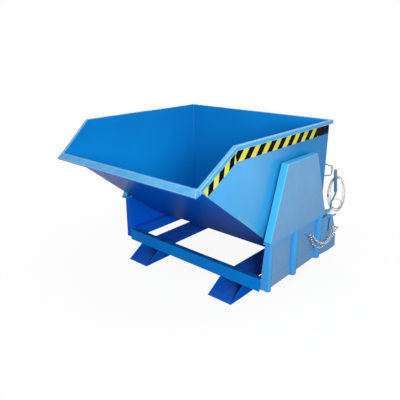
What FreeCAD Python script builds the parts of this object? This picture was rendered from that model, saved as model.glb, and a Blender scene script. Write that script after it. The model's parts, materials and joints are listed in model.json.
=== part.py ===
"""Forklift tipping skip: a welded sheet tub that tips forward between two bearing towers.

Lengths are millimetres. The model is drawn with y = 0 on the front face of the base,
y growing to the rear, x = 0 on the plane of symmetry and z = 0 on the ground. Every node is
then moved so that the origin lies on the ground, halfway along the fork pockets.
"""
import FreeCAD
import Part

import math
import os

from FreeCAD import Vector

# Sheet metal
SHEET = 4.0                 # tub and tower sheet
FRAME_WALL = 5.0            # fork pockets and cross beams
TOUCH = 0.3                 # gap left where two rounded pieces rest on each other
WIRE_SIDES = 6              # flats round rope and spring wire
ROD_SIDES = 12              # flats round bent rods and pegs
BEND_CHORDS = 5             # straight pieces in a bend
CORNER_CHORDS = 3           # flats at a rounded post edge
NUT_SIDES = 6

# Tub, seen from the side
TUB_HALF_WIDTH = 587.0      # to the outside of the side sheets
WING_TAPER = 38.0           # the wings draw in by this much at the pour lip
TUB_TOP = 1020.0
FLOOR_HEIGHT = 252.0
REAR_INSET = 166.0          # from the rear of the base to the outside of the rear sheet
FLOOR_LENGTH = 480.0        # from the rear sheet to the fold where the floor turns up
CORNER_Y = -307.0           # where the rim starts to slant down
LIP_REACH = 224.0           # the slanting rim runs this far forward
LIP_FALL = 175.0            # and this far down, to the pour lip

# Rim, pour lip and tape
RIM_WIDTH = 18.0
RIM_HEIGHT = 24.0
LIP_DEPTH = 44.0
LIP_RETURN = 12.0
TAPE_WIDTH = 62.0
TAPE_THICKNESS = 1.0
TAPE_REAR_MARGIN = 5.0
TAPE_LIP_MARGIN = 22.0
EDGE_STRIP_WIDTH = 22.0
EDGE_STRIP_FRONT_Y = -236.0
EDGE_STRIP_REAR_Y = -61.0

# Base frame
BASE_LENGTH = 875.0
TUB_SIDE_GAP = 13.0         # from the tub's side to the inner faces of posts and towers
POST_WIDTH = 40.0
FRONT_POST_DEPTH = 32.0
FRONT_POST_FOOT_GAIN = 20.0  # the foot is this much wider, on the inner side
REAR_POST_DEPTH = 112.0     # at the foot
REAR_POST_HEAD = 28.0       # depth at the top, below the lid
REAR_POST_KNEE = 15.0       # the rear edge leans this far forward up to the knee
REAR_POST_KNEE_Z = 205.0
REAR_POST_LID = 44.0        # depth of the lid that carries the latch spring
REAR_POST_LID_THICKNESS = 6.0
REAR_POST_TOP = 352.0       # top of the lid
POST_WALL = 3.0
POST_CORNER_RADIUS = 12.0
WALL_INSET = 12.0           # from the posts' inner faces to the outside of the base side sheet
WALL_REAR_TOP = 372.0       # behind the tower, just below the latch stud
CAP_HEIGHT = 412.0          # top of the cap that the tower stands on
CAP_THICKNESS = 8.0
CAP_OVERHANG = 4.0
CAP_TONGUE_LENGTH = 56.0    # the right cap runs on past the latch on a narrow tongue
CAP_TONGUE_WIDTH = 15.0
BEAM_HEIGHT = 70.0
BEAM_DEPTH = 40.0
BEAM_PROUD = 10.0           # beam and pockets stand this far ahead of the posts
BEAM_APRON = 12.0           # the beam's web hangs this far below the pockets' top
RAIL_WIDTH = 56.0
REST_BLOCK_SETBACK = 65.0   # from the rear sheet to the middle of the rest blocks
REST_BLOCK_LENGTH = 60.0
SKIRT_THICKNESS = 3.0
RIB_WIDTH = 48.0
RIB_PROUD = 30.0
RIB_CORNER_RADIUS = 14.0
RIB_FRONT_Y = 300.0         # centre of the front rib
RIB_REAR_SETBACK = 40.0     # from the rear foot of the tower to the centre of the rear rib
CHEEK_THICKNESS = 3.0
CHEEK_FOOT_Z = 108.0        # at the rib; the lower edge falls to the pockets' top at the post
CHEEK_FRONT_TOP = 376.0     # before the slot
CHEEK_REAR_TOP = 345.0      # behind it
CHEEK_SLOT_FRONT_SETBACK = 41.0   # from the rear post to the front edge of the slot
CHEEK_SLOT_REAR_SETBACK = 17.0    # and to its rear edge
CHEEK_SLOT_Z = 250.0

# Fork pockets
POCKET_HEIGHT = 93.0
POCKET_WIDTH = 182.0
POCKET_CENTRE_X = 372.0
POCKET_NOSE = 133.0         # the floor of a pocket reaches this far forward
POCKET_FRONT_LOOP = 100.0   # closed all round from its nose to here
POCKET_REAR_LOOP = 150.0    # and over this length at the rear
POCKET_FLANGE = 15.0        # depth of the channel between the two loops

# Bearing towers, as the corners of the folded tray seen from the side
TOWER_DEPTH = 45.0
TOWER_TOP = 852.0
TOWER_FOOT_FRONT_Y = -20.0
TOWER_FRONT_SLANT = 145.0
TOWER_REAR_SLANT = 183.0
TOWER_POST_GAP = 107.0      # from the rear foot of the tower to the rear post
TOWER_FOLD_RADIUS = 6.0
TOWER_RELIEF_RADIUS = 7.0   # round notch at each foot corner, to clear the weld

# Tilt bearing
PIVOT_BEHIND_FOOT = 200.0   # from the tower's front foot
PIVOT_ABOVE_CAP = 108.0
PIVOT_PIN_RADIUS = 20.0
PIVOT_CLEARANCE = 0.05
BUSH_WALL = 5.0
BEARING_BLOCK = 90.0
PILLAR_DEPTH = 60.0
BEARING_SIDE_GAP = 4.0      # block and pillar stand this far outside the tower's inner edge
PIVOT_PLATE = 130.0
PIVOT_PLATE_THICKNESS = 6.0
PIN_END_GAP = 5.0

# Latch
STUD_INSET = 15.0           # from the rear sheet
STUD_Z = 388.0
STUD_RADIUS = 10.0
STUD_PLATE = 28.0
STUD_PLATE_THICKNESS = 6.0
STUD_OVERRUN = 6.0
HOOK_PIVOT_BEHIND_STUD = 22.0
HOOK_PIVOT_Z = 325.0
HOOK_PIN_RADIUS = 8.0
HOOK_THICKNESS = 8.0
HOOK_SIDE_GAP = 3.0
HOOK_STUD_GAP = 2.0
HOOK_NOSE_HEIGHT = 12.0
HOOK_BOSS_RADIUS = 20.0
HOOK_ARM_HEIGHT = 13.0
HOOK_ARM_BOTTOM = 392.0
HOOK_ARM_REACH = 86.0       # from the pin to the end of the arm
BRACKET_THICKNESS = 6.0
BRACKET_REACH = 26.0        # bracket reaches this far before, behind and below the pin
PIN_CLEARANCE = 0.05
PIN_HEAD_RADIUS = 13.0
PIN_HEAD_THICKNESS = 4.0

# Guard strap outside the latch
STRAP_THICKNESS = 6.0
STRAP_HEIGHT = 11.0
STRAP_START = 42.0          # from the rear foot of the tower to the start of the strap
STRAP_LENGTH = 132.0
STRAP_TOP = 370.0
STRAP_FALL = 14.0

# Hand lever
LEVER_RADIUS = 6.0
LEVER_FOOT_INSET = 16.0     # from the end of the arm
LEVER_KNEE_Z = 450.0
LEVER_BEND_RADIUS = 18.0
GRIP_LOW_OFFSET = 58.0      # the grip's lower end stands this far behind the lever's foot
GRIP_LOW_Z = 491.0
GRIP_TOP_OFFSET = 15.0      # and its upper end this far
GRIP_TOP_Z = 676.0
GRIP_RADIUS = 11.0
GRIP_END_RADIUS = 5.0
PEG_Z = 606.0
PEG_RADIUS = 5.0
PEG_HEAD_RADIUS = 9.0
PEG_HEAD_THICKNESS = 4.0

# Latch spring under the lever arm
SPRING_INSET = 21.0         # from the end of the arm
SPRING_RADIUS = 10.0
SPRING_WIRE = 2.0
SPRING_TURNS = 4
SPRING_CHORDS = 20          # straight pieces in one turn

# Wire rope coil hung on the peg
ROPE_DIAMETER = 5.5
ROPE_STEP = 7.4             # distance between neighbouring loops
ROPE_LOOPS = 4
ROPE_HALF_WIDTH = 53.0
ROPE_DROP = 243.0
ROPE_SPREAD = 5.0           # every other loop is this much wider and longer
ROPE_EYE_RADIUS = 37.0
FERRULE_RADIUS = 5.0
FERRULE_LENGTH = 18.0

# Wire bail on the rear sheet
BAIL_WIRE = 8.0
BAIL_INSET = 4.0            # from the side of the tub to the wire's centre
BAIL_REACH = 116.0
BAIL_ROOT_TOP = 728.0
BAIL_ROOT_LOW = 646.0
BAIL_TIP_TOP = 688.0
BAIL_TIP_LOW = 626.0
BAIL_BEND_RADIUS = 14.0

# Safety chain
LINK_WIRE = 5.0
LINK_INSIDE_LENGTH = 24.3
LINK_INSIDE_WIDTH = 8.5
LINK_GAP = 0.5
LINK_ARC_STEPS = 4          # flats in the half circle at each end of a link
LINK_SIDES = 6              # flats round the wire of a link
LOWER_LINKS = 19
UPPER_LINKS = 17
CHAIN_FIRST_OFFSET = 11.0   # from the rib faces to the middle of the lower strand
CHAIN_SPACING = 21.2        # between the two strands, along their pegs
HOOK_PEG_RADIUS = 4.0
CHAIN_HOOK_Z = 318.0
CHAIN_SPAN = 351.0          # from the hook to the anchor
CHAIN_ANCHOR_INSET = 78.0   # from the rear of the base
CHAIN_ANCHOR_Z = 270.0
CHAIN_HOOK_OVERRUN = 11.0
CHAIN_ANCHOR_OVERRUN = 5.0
CHAIN_HOOK_TIP = 22.0
CHAIN_ANCHOR_FLANGE = 12.0
CHAIN_ANCHOR_FLANGE_THICKNESS = 4.0

# Sizes worked out from those above
LIP_HALF_WIDTH = TUB_HALF_WIDTH - WING_TAPER
REAR_Y = BASE_LENGTH - REAR_INSET
FOLD_Y = REAR_Y - FLOOR_LENGTH
LIP_Y = CORNER_Y - LIP_REACH
LIP_HEIGHT = TUB_TOP - LIP_FALL
BASE_HALF_INSIDE = TUB_HALF_WIDTH + TUB_SIDE_GAP
WALL_OUTSIDE = BASE_HALF_INSIDE + WALL_INSET
CAP_UNDERSIDE = CAP_HEIGHT - CAP_THICKNESS
BEAM_TOP = POCKET_HEIGHT + BEAM_HEIGHT
POST_OUTSIDE = BASE_HALF_INSIDE + POST_WIDTH
RIB_OUTSIDE = WALL_OUTSIDE + RIB_PROUD
TOWER_OUTSIDE = BASE_HALF_INSIDE + TOWER_DEPTH
WALL_INSIDE = WALL_OUTSIDE - SHEET
REAR_POST_Y = BASE_LENGTH - REAR_POST_DEPTH
FRONT_POST_FOOT = BASE_HALF_INSIDE - FRONT_POST_FOOT_GAIN
ORIGIN_Y = (BASE_LENGTH - POCKET_NOSE) / 2
TOWER_FOOT_REAR_Y = REAR_POST_Y - TOWER_POST_GAP
TOWER_TOP_FRONT_Y = TOWER_FOOT_FRONT_Y + TOWER_FRONT_SLANT
TOWER_TOP_REAR_Y = TOWER_FOOT_REAR_Y - TOWER_REAR_SLANT
RIB_REAR_Y = TOWER_FOOT_REAR_Y - RIB_REAR_SETBACK
REST_BLOCK_Y = REAR_Y - REST_BLOCK_SETBACK
PIVOT_Y = TOWER_FOOT_FRONT_Y + PIVOT_BEHIND_FOOT
PIVOT_Z = CAP_HEIGHT + PIVOT_ABOVE_CAP
STUD_Y = REAR_Y - STUD_INSET
HOOK_PIVOT_Y = STUD_Y + HOOK_PIVOT_BEHIND_STUD
HOOK_ARM_END_Y = HOOK_PIVOT_Y + HOOK_ARM_REACH
LEVER_FOOT_Y = HOOK_ARM_END_Y - LEVER_FOOT_INSET
GRIP_LOW_Y = LEVER_FOOT_Y + GRIP_LOW_OFFSET
GRIP_TOP_Y = LEVER_FOOT_Y + GRIP_TOP_OFFSET
SPRING_Y = HOOK_ARM_END_Y - SPRING_INSET
CHAIN_ANCHOR_Y = BASE_LENGTH - CHAIN_ANCHOR_INSET
CHAIN_HOOK_Y = CHAIN_ANCHOR_Y - CHAIN_SPAN
HOOK_INSIDE = WALL_OUTSIDE + HOOK_SIDE_GAP
HOOK_OUTSIDE = HOOK_INSIDE + HOOK_THICKNESS
HOOK_MIDDLE = (HOOK_INSIDE + HOOK_OUTSIDE) / 2
LOWER_STRAND_X = RIB_OUTSIDE + CHAIN_FIRST_OFFSET
UPPER_STRAND_X = LOWER_STRAND_X + CHAIN_SPACING
CHAIN_HOOK_END = UPPER_STRAND_X + CHAIN_HOOK_OVERRUN
CHAIN_ANCHOR_END = UPPER_STRAND_X + CHAIN_ANCHOR_OVERRUN

# Corners of the tub's side profile, as (y, z)
LIP = (LIP_Y, LIP_HEIGHT)
FOLD = (FOLD_Y, FLOOR_HEIGHT)
REAR_BOTTOM = (REAR_Y, FLOOR_HEIGHT)
REAR_TOP = (REAR_Y, TUB_TOP)
CORNER = (CORNER_Y, TUB_TOP)

X_AXIS = Vector(1, 0, 0)
Y_AXIS = Vector(0, 1, 0)
Z_AXIS = Vector(0, 0, 1)
PIVOT = Vector(0, PIVOT_Y, PIVOT_Z)


# Helpers for plain shapes

def face(points):
    """Flat face through a closed ring of points."""
    return Part.Face(Part.makePolygon(list(points) + [points[0]]))


def box(x_low, x_high, y_low, y_high, z_low, z_high):
    """Box between two corners."""
    size = (x_high - x_low, y_high - y_low, z_high - z_low)
    return Part.makeBox(*size, Vector(x_low, y_low, z_low))


def plate_x(outline, x_low, x_high):
    """Plate of a (y, z) outline between two x values."""
    ring = [Vector(x_low, y, z) for y, z in outline]
    return face(ring).extrude(Vector(x_high - x_low, 0, 0))


def bar_x(outline, length_x):
    """Bar of a (y, z) section, centred on the plane of symmetry."""
    return plate_x(outline, -length_x / 2, length_x / 2)


def rod(start, end, radius):
    """Round rod between two points."""
    run = end - start
    return Part.makeCylinder(radius, run.Length, start, run)


def flat_rod(start, end, radius, sides):
    """Rod with flat sides between two points."""
    run = end - start
    ring = flat_sided_ring(start, Vector(run).normalize(), radius, sides)
    return Part.Face(ring).extrude(run)


def mirrored(shape):
    """The same shape on the other side of the plane of symmetry."""
    return shape.mirror(Vector(0, 0, 0), X_AXIS)


def unit(y, z):
    """Direction in the side view, one millimetre long."""
    length = math.hypot(y, z)
    return (y / length, z / length)


def fuse_all(shapes):
    """One solid from pieces that share faces."""
    joined = shapes[0].multiFuse(shapes[1:])
    return joined.removeSplitter()


def save(name, shape):
    """Write one node, moved to the part's own origin."""
    moved = shape.copy()
    moved.translate(Vector(0, -ORIGIN_Y, 0))
    moved.exportStep("parts/" + name + ".step")


def save_pair(name, shape):
    """Write a node for the right side, and its mirror image for the left."""
    save(name + "_right", shape)
    save(name + "_left", mirrored(shape))


def save_both(name, shape):
    """Write one node that holds a piece of the right side and its mirror image."""
    save(name, Part.makeCompound([shape, mirrored(shape)]))


def channel(y_low, y_high, z_low, z_high, wall, open_to_rear):
    """Section of a folded channel, as a (y, z) outline with its web across the front or rear."""
    if open_to_rear:
        web, edge, inner = y_low, y_high, y_low + wall
    else:
        web, edge, inner = y_high, y_low, y_high - wall
    return [
        (web, z_low), (edge, z_low), (edge, z_low + wall), (inner, z_low + wall),
        (inner, z_high - wall), (edge, z_high - wall), (edge, z_high), (web, z_high),
    ]


# Helpers for bent wire

def arc_through(start, start_direction, end):
    """Circular arc that leaves a point in a direction and ends at another point."""
    chord = end - start
    direction = Vector(start_direction).normalize()
    middle = (start + end) * 0.5
    along = Vector(chord).normalize()
    side = direction - along * direction.dot(along)
    angle = math.atan2(side.Length, direction.dot(along))
    rise = chord.Length / 2 * math.tan(angle / 2)
    return Part.Arc(start, middle + side.normalize() * rise, end).toShape()


def biarc(start, start_direction, end, end_direction):
    """Two arcs with a common tangent, from one point and direction to another."""
    t0 = Vector(start_direction).normalize()
    t1 = Vector(end_direction).normalize()
    gap = end - start
    sum_along = gap.dot(t0 + t1)
    spread = 2 * (1 - t0.dot(t1))
    reach = (math.sqrt(sum_along ** 2 + spread * gap.dot(gap)) - sum_along) / spread
    joint = (start + end + (t0 - t1) * reach) * 0.5
    middle_direction = (end - t1 * reach) - (start + t0 * reach)
    return [arc_through(start, t0, joint), arc_through(joint, middle_direction, end)]


def rounded_points(points, radius):
    """Points of a path with an arc of one radius at each inner point, drawn in short chords."""
    path = [points[0]]
    for before, corner, after in zip(points, points[1:], points[2:]):
        back = (before - corner).normalize()
        ahead = (after - corner).normalize()
        half_turn = (math.pi - back.getAngle(ahead)) / 2
        setback = radius * math.tan(half_turn)
        arc = arc_through(corner + back * setback, back * -1, corner + ahead * setback)
        path += arc.discretize(Number=BEND_CHORDS + 1)
    return path + [points[-1]]


def bent_rod(points, radius, sides):
    """Rod with flat sides along straight pieces that meet in mitres."""
    runs = [(after - before).normalize() for before, after in zip(points, points[1:])]
    ring = flat_sided_ring(points[0], runs[0], radius, sides).Vertexes[:sides]
    rings = [[vertex.Point for vertex in ring]]
    for number, point in enumerate(points[1:]):
        run = runs[number]
        ahead = runs[min(number + 1, len(runs) - 1)]
        mitre = run + ahead
        rings.append([
            corner + run * ((point - corner).dot(mitre) / run.dot(mitre)) for corner in rings[-1]
        ])
    return ringed_solid(rings)


def ringed_solid(rings):
    """Solid from rings of points, with flat faces between them and a face at each end."""
    faces = [face(rings[0]), face(rings[-1])]
    for here, there in zip(rings, rings[1:]):
        for side in range(len(here)):
            after = (side + 1) % len(here)
            faces.append(face([here[side], there[side], there[after], here[after]]))
    return Part.Solid(Part.Shell(faces))


def flat_sided_ring(centre, axis, radius, sides):
    """Closed polygon round a circle, with the same area as the circle."""
    share = 2 * math.pi / sides
    reach = radius * math.sqrt(share / math.sin(share))
    across = axis.cross(X_AXIS if abs(axis.x) < 0.7 else Z_AXIS).normalize()
    up = axis.cross(across).normalize()
    corners = []
    for side in range(sides):
        angle = share * (side + 0.5)
        corners.append(centre + across * (reach * math.cos(angle)) + up * (reach * math.sin(angle)))
    return Part.makePolygon(corners + corners[:1])


def rope_along(path):
    """Rope of a round section, drawn with flat sides, swept along a path."""
    first = path.OrderedEdges[0]
    start = first.valueAt(first.FirstParameter)
    tangent = first.tangentAt(first.FirstParameter)
    section = flat_sided_ring(start, tangent, ROPE_DIAMETER / 2, WIRE_SIDES)
    shell = Part.BRepOffsetAPI.MakePipeShell(path)
    shell.add(section)
    shell.build()
    shell.makeSolid()
    return shell.shape()


def least_gap(path, diameter, step):
    """Least gap between two stretches of a wound wire, measured on points along it."""
    points = path.discretize(Distance=step)
    skip = int(4 * diameter / step)
    nearest = min(
        (points[i] - points[j]).Length
        for i in range(len(points))
        for j in range(i + skip, len(points))
    )
    return nearest - diameter


# Tub

def side_skin(x_low, x_high):
    """Right side of the tub, wall and drawn-in wing, between two x values at the wall."""
    thickness = Vector(x_high - x_low, 0, 0)
    wall = [Vector(x_low, y, z) for y, z in (FOLD, REAR_BOTTOM, REAR_TOP, CORNER)]
    lip_point = Vector(x_low - WING_TAPER, *LIP)
    wing = [Vector(x_low, *CORNER), Vector(x_low, *FOLD), lip_point]
    return fuse_all([face(wall).extrude(thickness), face(wing).extrude(thickness)])


def floor_sheet():
    """Bent sheet of the flat floor and the front slope, up to the pour lip."""
    inside = TUB_HALF_WIDTH - SHEET
    lip_inside = LIP_HALF_WIDTH - SHEET
    slope = unit(LIP_Y - FOLD_Y, LIP_HEIGHT - FLOOR_HEIGHT)
    inward = Vector(0, slope[1], -slope[0])
    ring = [
        Vector(-inside, *FOLD), Vector(inside, *FOLD),
        Vector(lip_inside, *LIP), Vector(-lip_inside, *LIP),
    ]
    slope_plate = face(ring).extrude(inward * SHEET)
    floor_plate = box(-inside, inside, FOLD_Y, REAR_Y - SHEET, FLOOR_HEIGHT, FLOOR_HEIGHT + SHEET)
    return fuse_all([slope_plate, floor_plate])


def rear_sheet():
    """Upright sheet between the side sheets at the rear."""
    inside = TUB_HALF_WIDTH - SHEET
    return box(-inside, inside, REAR_Y - SHEET, REAR_Y, FLOOR_HEIGHT, TUB_TOP)


def mitre_drop(depth):
    """Step in (y, z) from the rim's front corner to a line that lies a depth inside both rims."""
    slant = unit(LIP_Y - CORNER_Y, LIP_HEIGHT - TUB_TOP)
    return (-slant[1] / (1 - slant[0]) * depth, -depth)


def rim_section(drop):
    """Folded angle of the rim, on the mitre at its front corner."""
    inner = TUB_HALF_WIDTH
    outer = TUB_HALF_WIDTH + RIM_WIDTH
    sheet_drop = mitre_drop(SHEET)
    corners = [
        (inner, (0, 0)), (outer, (0, 0)), (outer, drop),
        (outer - SHEET, drop), (outer - SHEET, sheet_drop), (inner, sheet_drop),
    ]
    return face([Vector(x, CORNER_Y + y, TUB_TOP + z) for x, (y, z) in corners])


def side_rim():
    """Rim along the right side, level to the rear and slanting down to the pour lip."""
    drop = mitre_drop(RIM_HEIGHT)
    section = rim_section(drop)
    rear_end = REAR_Y + RIM_WIDTH
    level = section.extrude(Vector(0, 2 * (rear_end - CORNER_Y), 0))
    keep = box(0, 2 * TUB_HALF_WIDTH, CORNER_Y - LIP_HEIGHT, rear_end, 0, 2 * TUB_TOP)
    slanted = section.extrude(Vector(-WING_TAPER, LIP_Y - CORNER_Y, LIP_HEIGHT - TUB_TOP))
    return fuse_all([level.common(keep), slanted])


def rear_rim():
    """Rim across the rear, between the ends of the side rims."""
    outer = REAR_Y + RIM_WIDTH
    low = TUB_TOP - RIM_HEIGHT
    outline = [
        (REAR_Y, TUB_TOP), (outer, TUB_TOP), (outer, low), (outer - SHEET, low),
        (outer - SHEET, TUB_TOP - SHEET), (REAR_Y, TUB_TOP - SHEET),
    ]
    return bar_x(outline, 2 * TUB_HALF_WIDTH)


def pour_lip():
    """Flange at the front edge, in line with the slanting rims, with a folded return."""
    slant = unit(LIP_Y - CORNER_Y, LIP_HEIGHT - TUB_TOP)
    ahead = Vector(0, *slant)
    under = Vector(0, slant[1], -slant[0]) * -1
    inner = LIP_HALF_WIDTH
    outer = LIP_HALF_WIDTH + RIM_WIDTH
    edge = Vector(0, *LIP)
    front = edge + ahead * LIP_DEPTH
    top = face([
        edge - X_AXIS * inner, edge + X_AXIS * inner,
        front + X_AXIS * outer, front - X_AXIS * outer,
    ]).extrude(under * SHEET)
    corner = front - X_AXIS * outer
    fold = face([
        corner, corner - ahead * SHEET,
        corner - ahead * SHEET + under * LIP_RETURN, corner + under * LIP_RETURN,
    ]).extrude(X_AXIS * (2 * outer))
    return fuse_all([top, fold])


def band_below_rim(outer_depth, inner_depth):
    """Outline between two lines that lie two depths below the rim's edge, as (y, z) points."""
    slant = unit(LIP_Y - CORNER_Y, LIP_HEIGHT - TUB_TOP)
    run = math.hypot(LIP_Y - CORNER_Y, LIP_HEIGHT - TUB_TOP) - TAPE_LIP_MARGIN
    rear = REAR_Y - TAPE_REAR_MARGIN

    def bend(depth):
        drop = mitre_drop(depth)
        return (CORNER_Y + drop[0], TUB_TOP + drop[1])

    def lip_end(depth):
        along = (CORNER_Y + slant[0] * run, TUB_TOP + slant[1] * run)
        return (along[0] - slant[1] * depth, along[1] + slant[0] * depth)

    return [
        (rear, TUB_TOP - outer_depth), bend(outer_depth), lip_end(outer_depth),
        lip_end(inner_depth), bend(inner_depth), (rear, TUB_TOP - inner_depth),
    ]


def hazard_tape():
    """Adhesive tape on the right side, just below the rim."""
    outline = band_below_rim(RIM_HEIGHT, RIM_HEIGHT + TAPE_WIDTH)
    band = plate_x(outline, 0, 2 * TUB_HALF_WIDTH)
    return band.common(side_skin(TUB_HALF_WIDTH, TUB_HALF_WIDTH + TAPE_THICKNESS))


def edge_strip():
    """Flat strip welded along the lower edge of the right side, where the slope meets it."""
    slope = unit(LIP_Y - FOLD_Y, LIP_HEIGHT - FLOOR_HEIGHT)

    def on_edge(y):
        return (y, FLOOR_HEIGHT + (FOLD_Y - y) * slope[1] / -slope[0])

    def inside(point):
        return (point[0] + slope[1] * EDGE_STRIP_WIDTH, point[1] - slope[0] * EDGE_STRIP_WIDTH)

    front = on_edge(EDGE_STRIP_FRONT_Y)
    rear = on_edge(EDGE_STRIP_REAR_Y)
    band = plate_x([front, rear, inside(rear), inside(front)], 0, 2 * TUB_HALF_WIDTH)
    return band.common(side_skin(TUB_HALF_WIDTH, TUB_HALF_WIDTH + SHEET))


def pivot_plate():
    """Doubler on the right side sheet that carries the tilt pin."""
    half = PIVOT_PLATE / 2
    outside = TUB_HALF_WIDTH + PIVOT_PLATE_THICKNESS
    return box(TUB_HALF_WIDTH, outside, PIVOT_Y - half, PIVOT_Y + half, PIVOT_Z - half, PIVOT_Z + half)


def pivot_pin():
    """Stub pin that the right side of the tub turns on."""
    root = TUB_HALF_WIDTH + PIVOT_PLATE_THICKNESS
    end = TOWER_OUTSIDE - SHEET - PIN_END_GAP
    return rod(PIVOT + X_AXIS * root, PIVOT + X_AXIS * end, PIVOT_PIN_RADIUS)


def latch_stud():
    """Stud on the right side sheet that the latch hook holds down, with its plate."""
    plate = box(
        TUB_HALF_WIDTH, TUB_HALF_WIDTH + STUD_PLATE_THICKNESS,
        STUD_Y - STUD_PLATE, REAR_Y,
        STUD_Z - STUD_PLATE, STUD_Z + STUD_PLATE,
    )
    centre = Vector(0, STUD_Y, STUD_Z)
    end = HOOK_OUTSIDE + STUD_OVERRUN
    stud = flat_rod(centre + X_AXIS * TUB_HALF_WIDTH, centre + X_AXIS * end, STUD_RADIUS, ROD_SIDES)
    return fuse_all([plate, stud])


def rope_bail():
    """Bent wire bail on the rear sheet, near its right edge."""
    x = TUB_HALF_WIDTH - BAIL_INSET
    tip = REAR_Y + BAIL_REACH
    points = [
        Vector(x, REAR_Y, BAIL_ROOT_TOP), Vector(x, tip, BAIL_TIP_TOP),
        Vector(x, tip, BAIL_TIP_LOW), Vector(x, REAR_Y, BAIL_ROOT_LOW),
    ]
    start = points[0] - (points[1] - points[0]).normalize() * BAIL_WIRE
    end = points[3] - (points[2] - points[3]).normalize() * BAIL_WIRE
    path = rounded_points([start] + points[1:3] + [end], BAIL_BEND_RADIUS)
    behind = box(0, 2 * TUB_HALF_WIDTH, REAR_Y, 2 * REAR_Y, 0, TUB_TOP)
    return bent_rod(path, BAIL_WIRE / 2, ROD_SIDES).common(behind)


def build_tub():
    """Everything that tips."""
    save_pair("side_sheet", side_skin(TUB_HALF_WIDTH - SHEET, TUB_HALF_WIDTH))
    save("floor_sheet", floor_sheet())
    save("rear_sheet", rear_sheet())
    save_pair("side_rim", side_rim())
    save("rear_rim", rear_rim())
    save("pour_lip", pour_lip())
    save_pair("hazard_tape", hazard_tape())
    save_both("edge_strips", edge_strip())
    save_pair("pivot_plate", pivot_plate())
    save_pair("pivot_pin", pivot_pin())
    save("latch_stud", latch_stud())
    save("rope_bail", rope_bail())


# Base frame

def fork_pocket():
    """Guide for a fork: closed loops at both ends, the front one cut on a slant, and a channel between."""
    low_x = POCKET_CENTRE_X - POCKET_WIDTH / 2
    high_x = POCKET_CENTRE_X + POCKET_WIDTH / 2
    apron_low = POCKET_HEIGHT - BEAM_APRON
    apron_rear = FRAME_WALL - BEAM_PROUD
    outline = [
        (-POCKET_NOSE, 0), (BASE_LENGTH, 0), (BASE_LENGTH, POCKET_HEIGHT),
        (apron_rear, POCKET_HEIGHT), (apron_rear, apron_low), (-BEAM_PROUD, apron_low),
    ]
    bore = box(
        low_x + FRAME_WALL, high_x - FRAME_WALL,
        -2 * POCKET_NOSE, 2 * BASE_LENGTH,
        FRAME_WALL, POCKET_HEIGHT - FRAME_WALL,
    )
    window = box(
        low_x, high_x,
        POCKET_FRONT_LOOP, BASE_LENGTH - POCKET_REAR_LOOP,
        0, POCKET_HEIGHT - POCKET_FLANGE,
    )
    return plate_x(outline, low_x, high_x).cut([bore, window])


def front_beam():
    """Folded channel across the front, on top of the pockets, with an apron over their edge."""
    rear = BEAM_DEPTH - BEAM_PROUD
    outline = channel(-BEAM_PROUD, rear, POCKET_HEIGHT, BEAM_TOP, FRAME_WALL, True)
    apron = box(
        -FRONT_POST_FOOT, FRONT_POST_FOOT,
        -BEAM_PROUD, FRAME_WALL - BEAM_PROUD,
        POCKET_HEIGHT - BEAM_APRON, POCKET_HEIGHT,
    )
    return fuse_all([bar_x(outline, 2 * FRONT_POST_FOOT), apron])


def rear_beam():
    """Folded channel across the rear, on top of the pockets."""
    outline = channel(BASE_LENGTH - BEAM_DEPTH, BASE_LENGTH, POCKET_HEIGHT, BEAM_TOP, FRAME_WALL, False)
    return bar_x(outline, 2 * BASE_HALF_INSIDE)


def corner_arc(x, y, radius, quarter):
    """Points at a rounded upright edge, on the given quarter of a circle, at the pockets' top."""
    points = []
    for chord in range(CORNER_CHORDS + 1):
        angle = math.pi / 2 * (quarter + chord / CORNER_CHORDS)
        points.append(Vector(x + radius * math.cos(angle), y + radius * math.sin(angle), POCKET_HEIGHT))
    return points


def upright(ring):
    """Bar from the pockets' top to the cap, on an outline at its foot."""
    return face(ring).extrude(Z_AXIS * (CAP_UNDERSIDE - POCKET_HEIGHT))


def front_post():
    """Hollow post, wider at its foot and rounded along its outer edges, open at both ends."""

    def bar(inset):
        radius = POST_CORNER_RADIUS - inset
        bend_x = POST_OUTSIDE - POST_CORNER_RADIUS
        inner = FRONT_POST_FOOT + inset
        ring = [
            Vector(inner, FRONT_POST_DEPTH - inset, POCKET_HEIGHT),
            Vector(inner, inset, POCKET_HEIGHT),
        ]
        ring += corner_arc(bend_x, POST_CORNER_RADIUS, radius, 3)
        ring += corner_arc(bend_x, FRONT_POST_DEPTH - POST_CORNER_RADIUS, radius, 0)
        head = BASE_HALF_INSIDE + inset
        wedge = face([
            Vector(inner, 0, BEAM_TOP), Vector(head, 0, CAP_UNDERSIDE), Vector(inner, 0, CAP_UNDERSIDE),
        ])
        return upright(ring).cut(wedge.extrude(Y_AXIS * FRONT_POST_DEPTH))

    return bar(0).cut(bar(POST_WALL))


def drawn_in(outline, distance):
    """Convex outline with every edge moved inwards, for points that run counterclockwise."""
    count = len(outline)
    corners = []
    for number in range(count):
        before, here, after = outline[number - 1], outline[number], outline[(number + 1) % count]
        first = unit(here[0] - before[0], here[1] - before[1])
        second = unit(after[0] - here[0], after[1] - here[1])
        turn = 1 + first[0] * second[0] + first[1] * second[1]
        step_y = -(first[1] + second[1]) * distance / turn
        step_z = (first[0] + second[0]) * distance / turn
        corners.append((here[0] + step_y, here[1] + step_z))
    return corners


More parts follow.
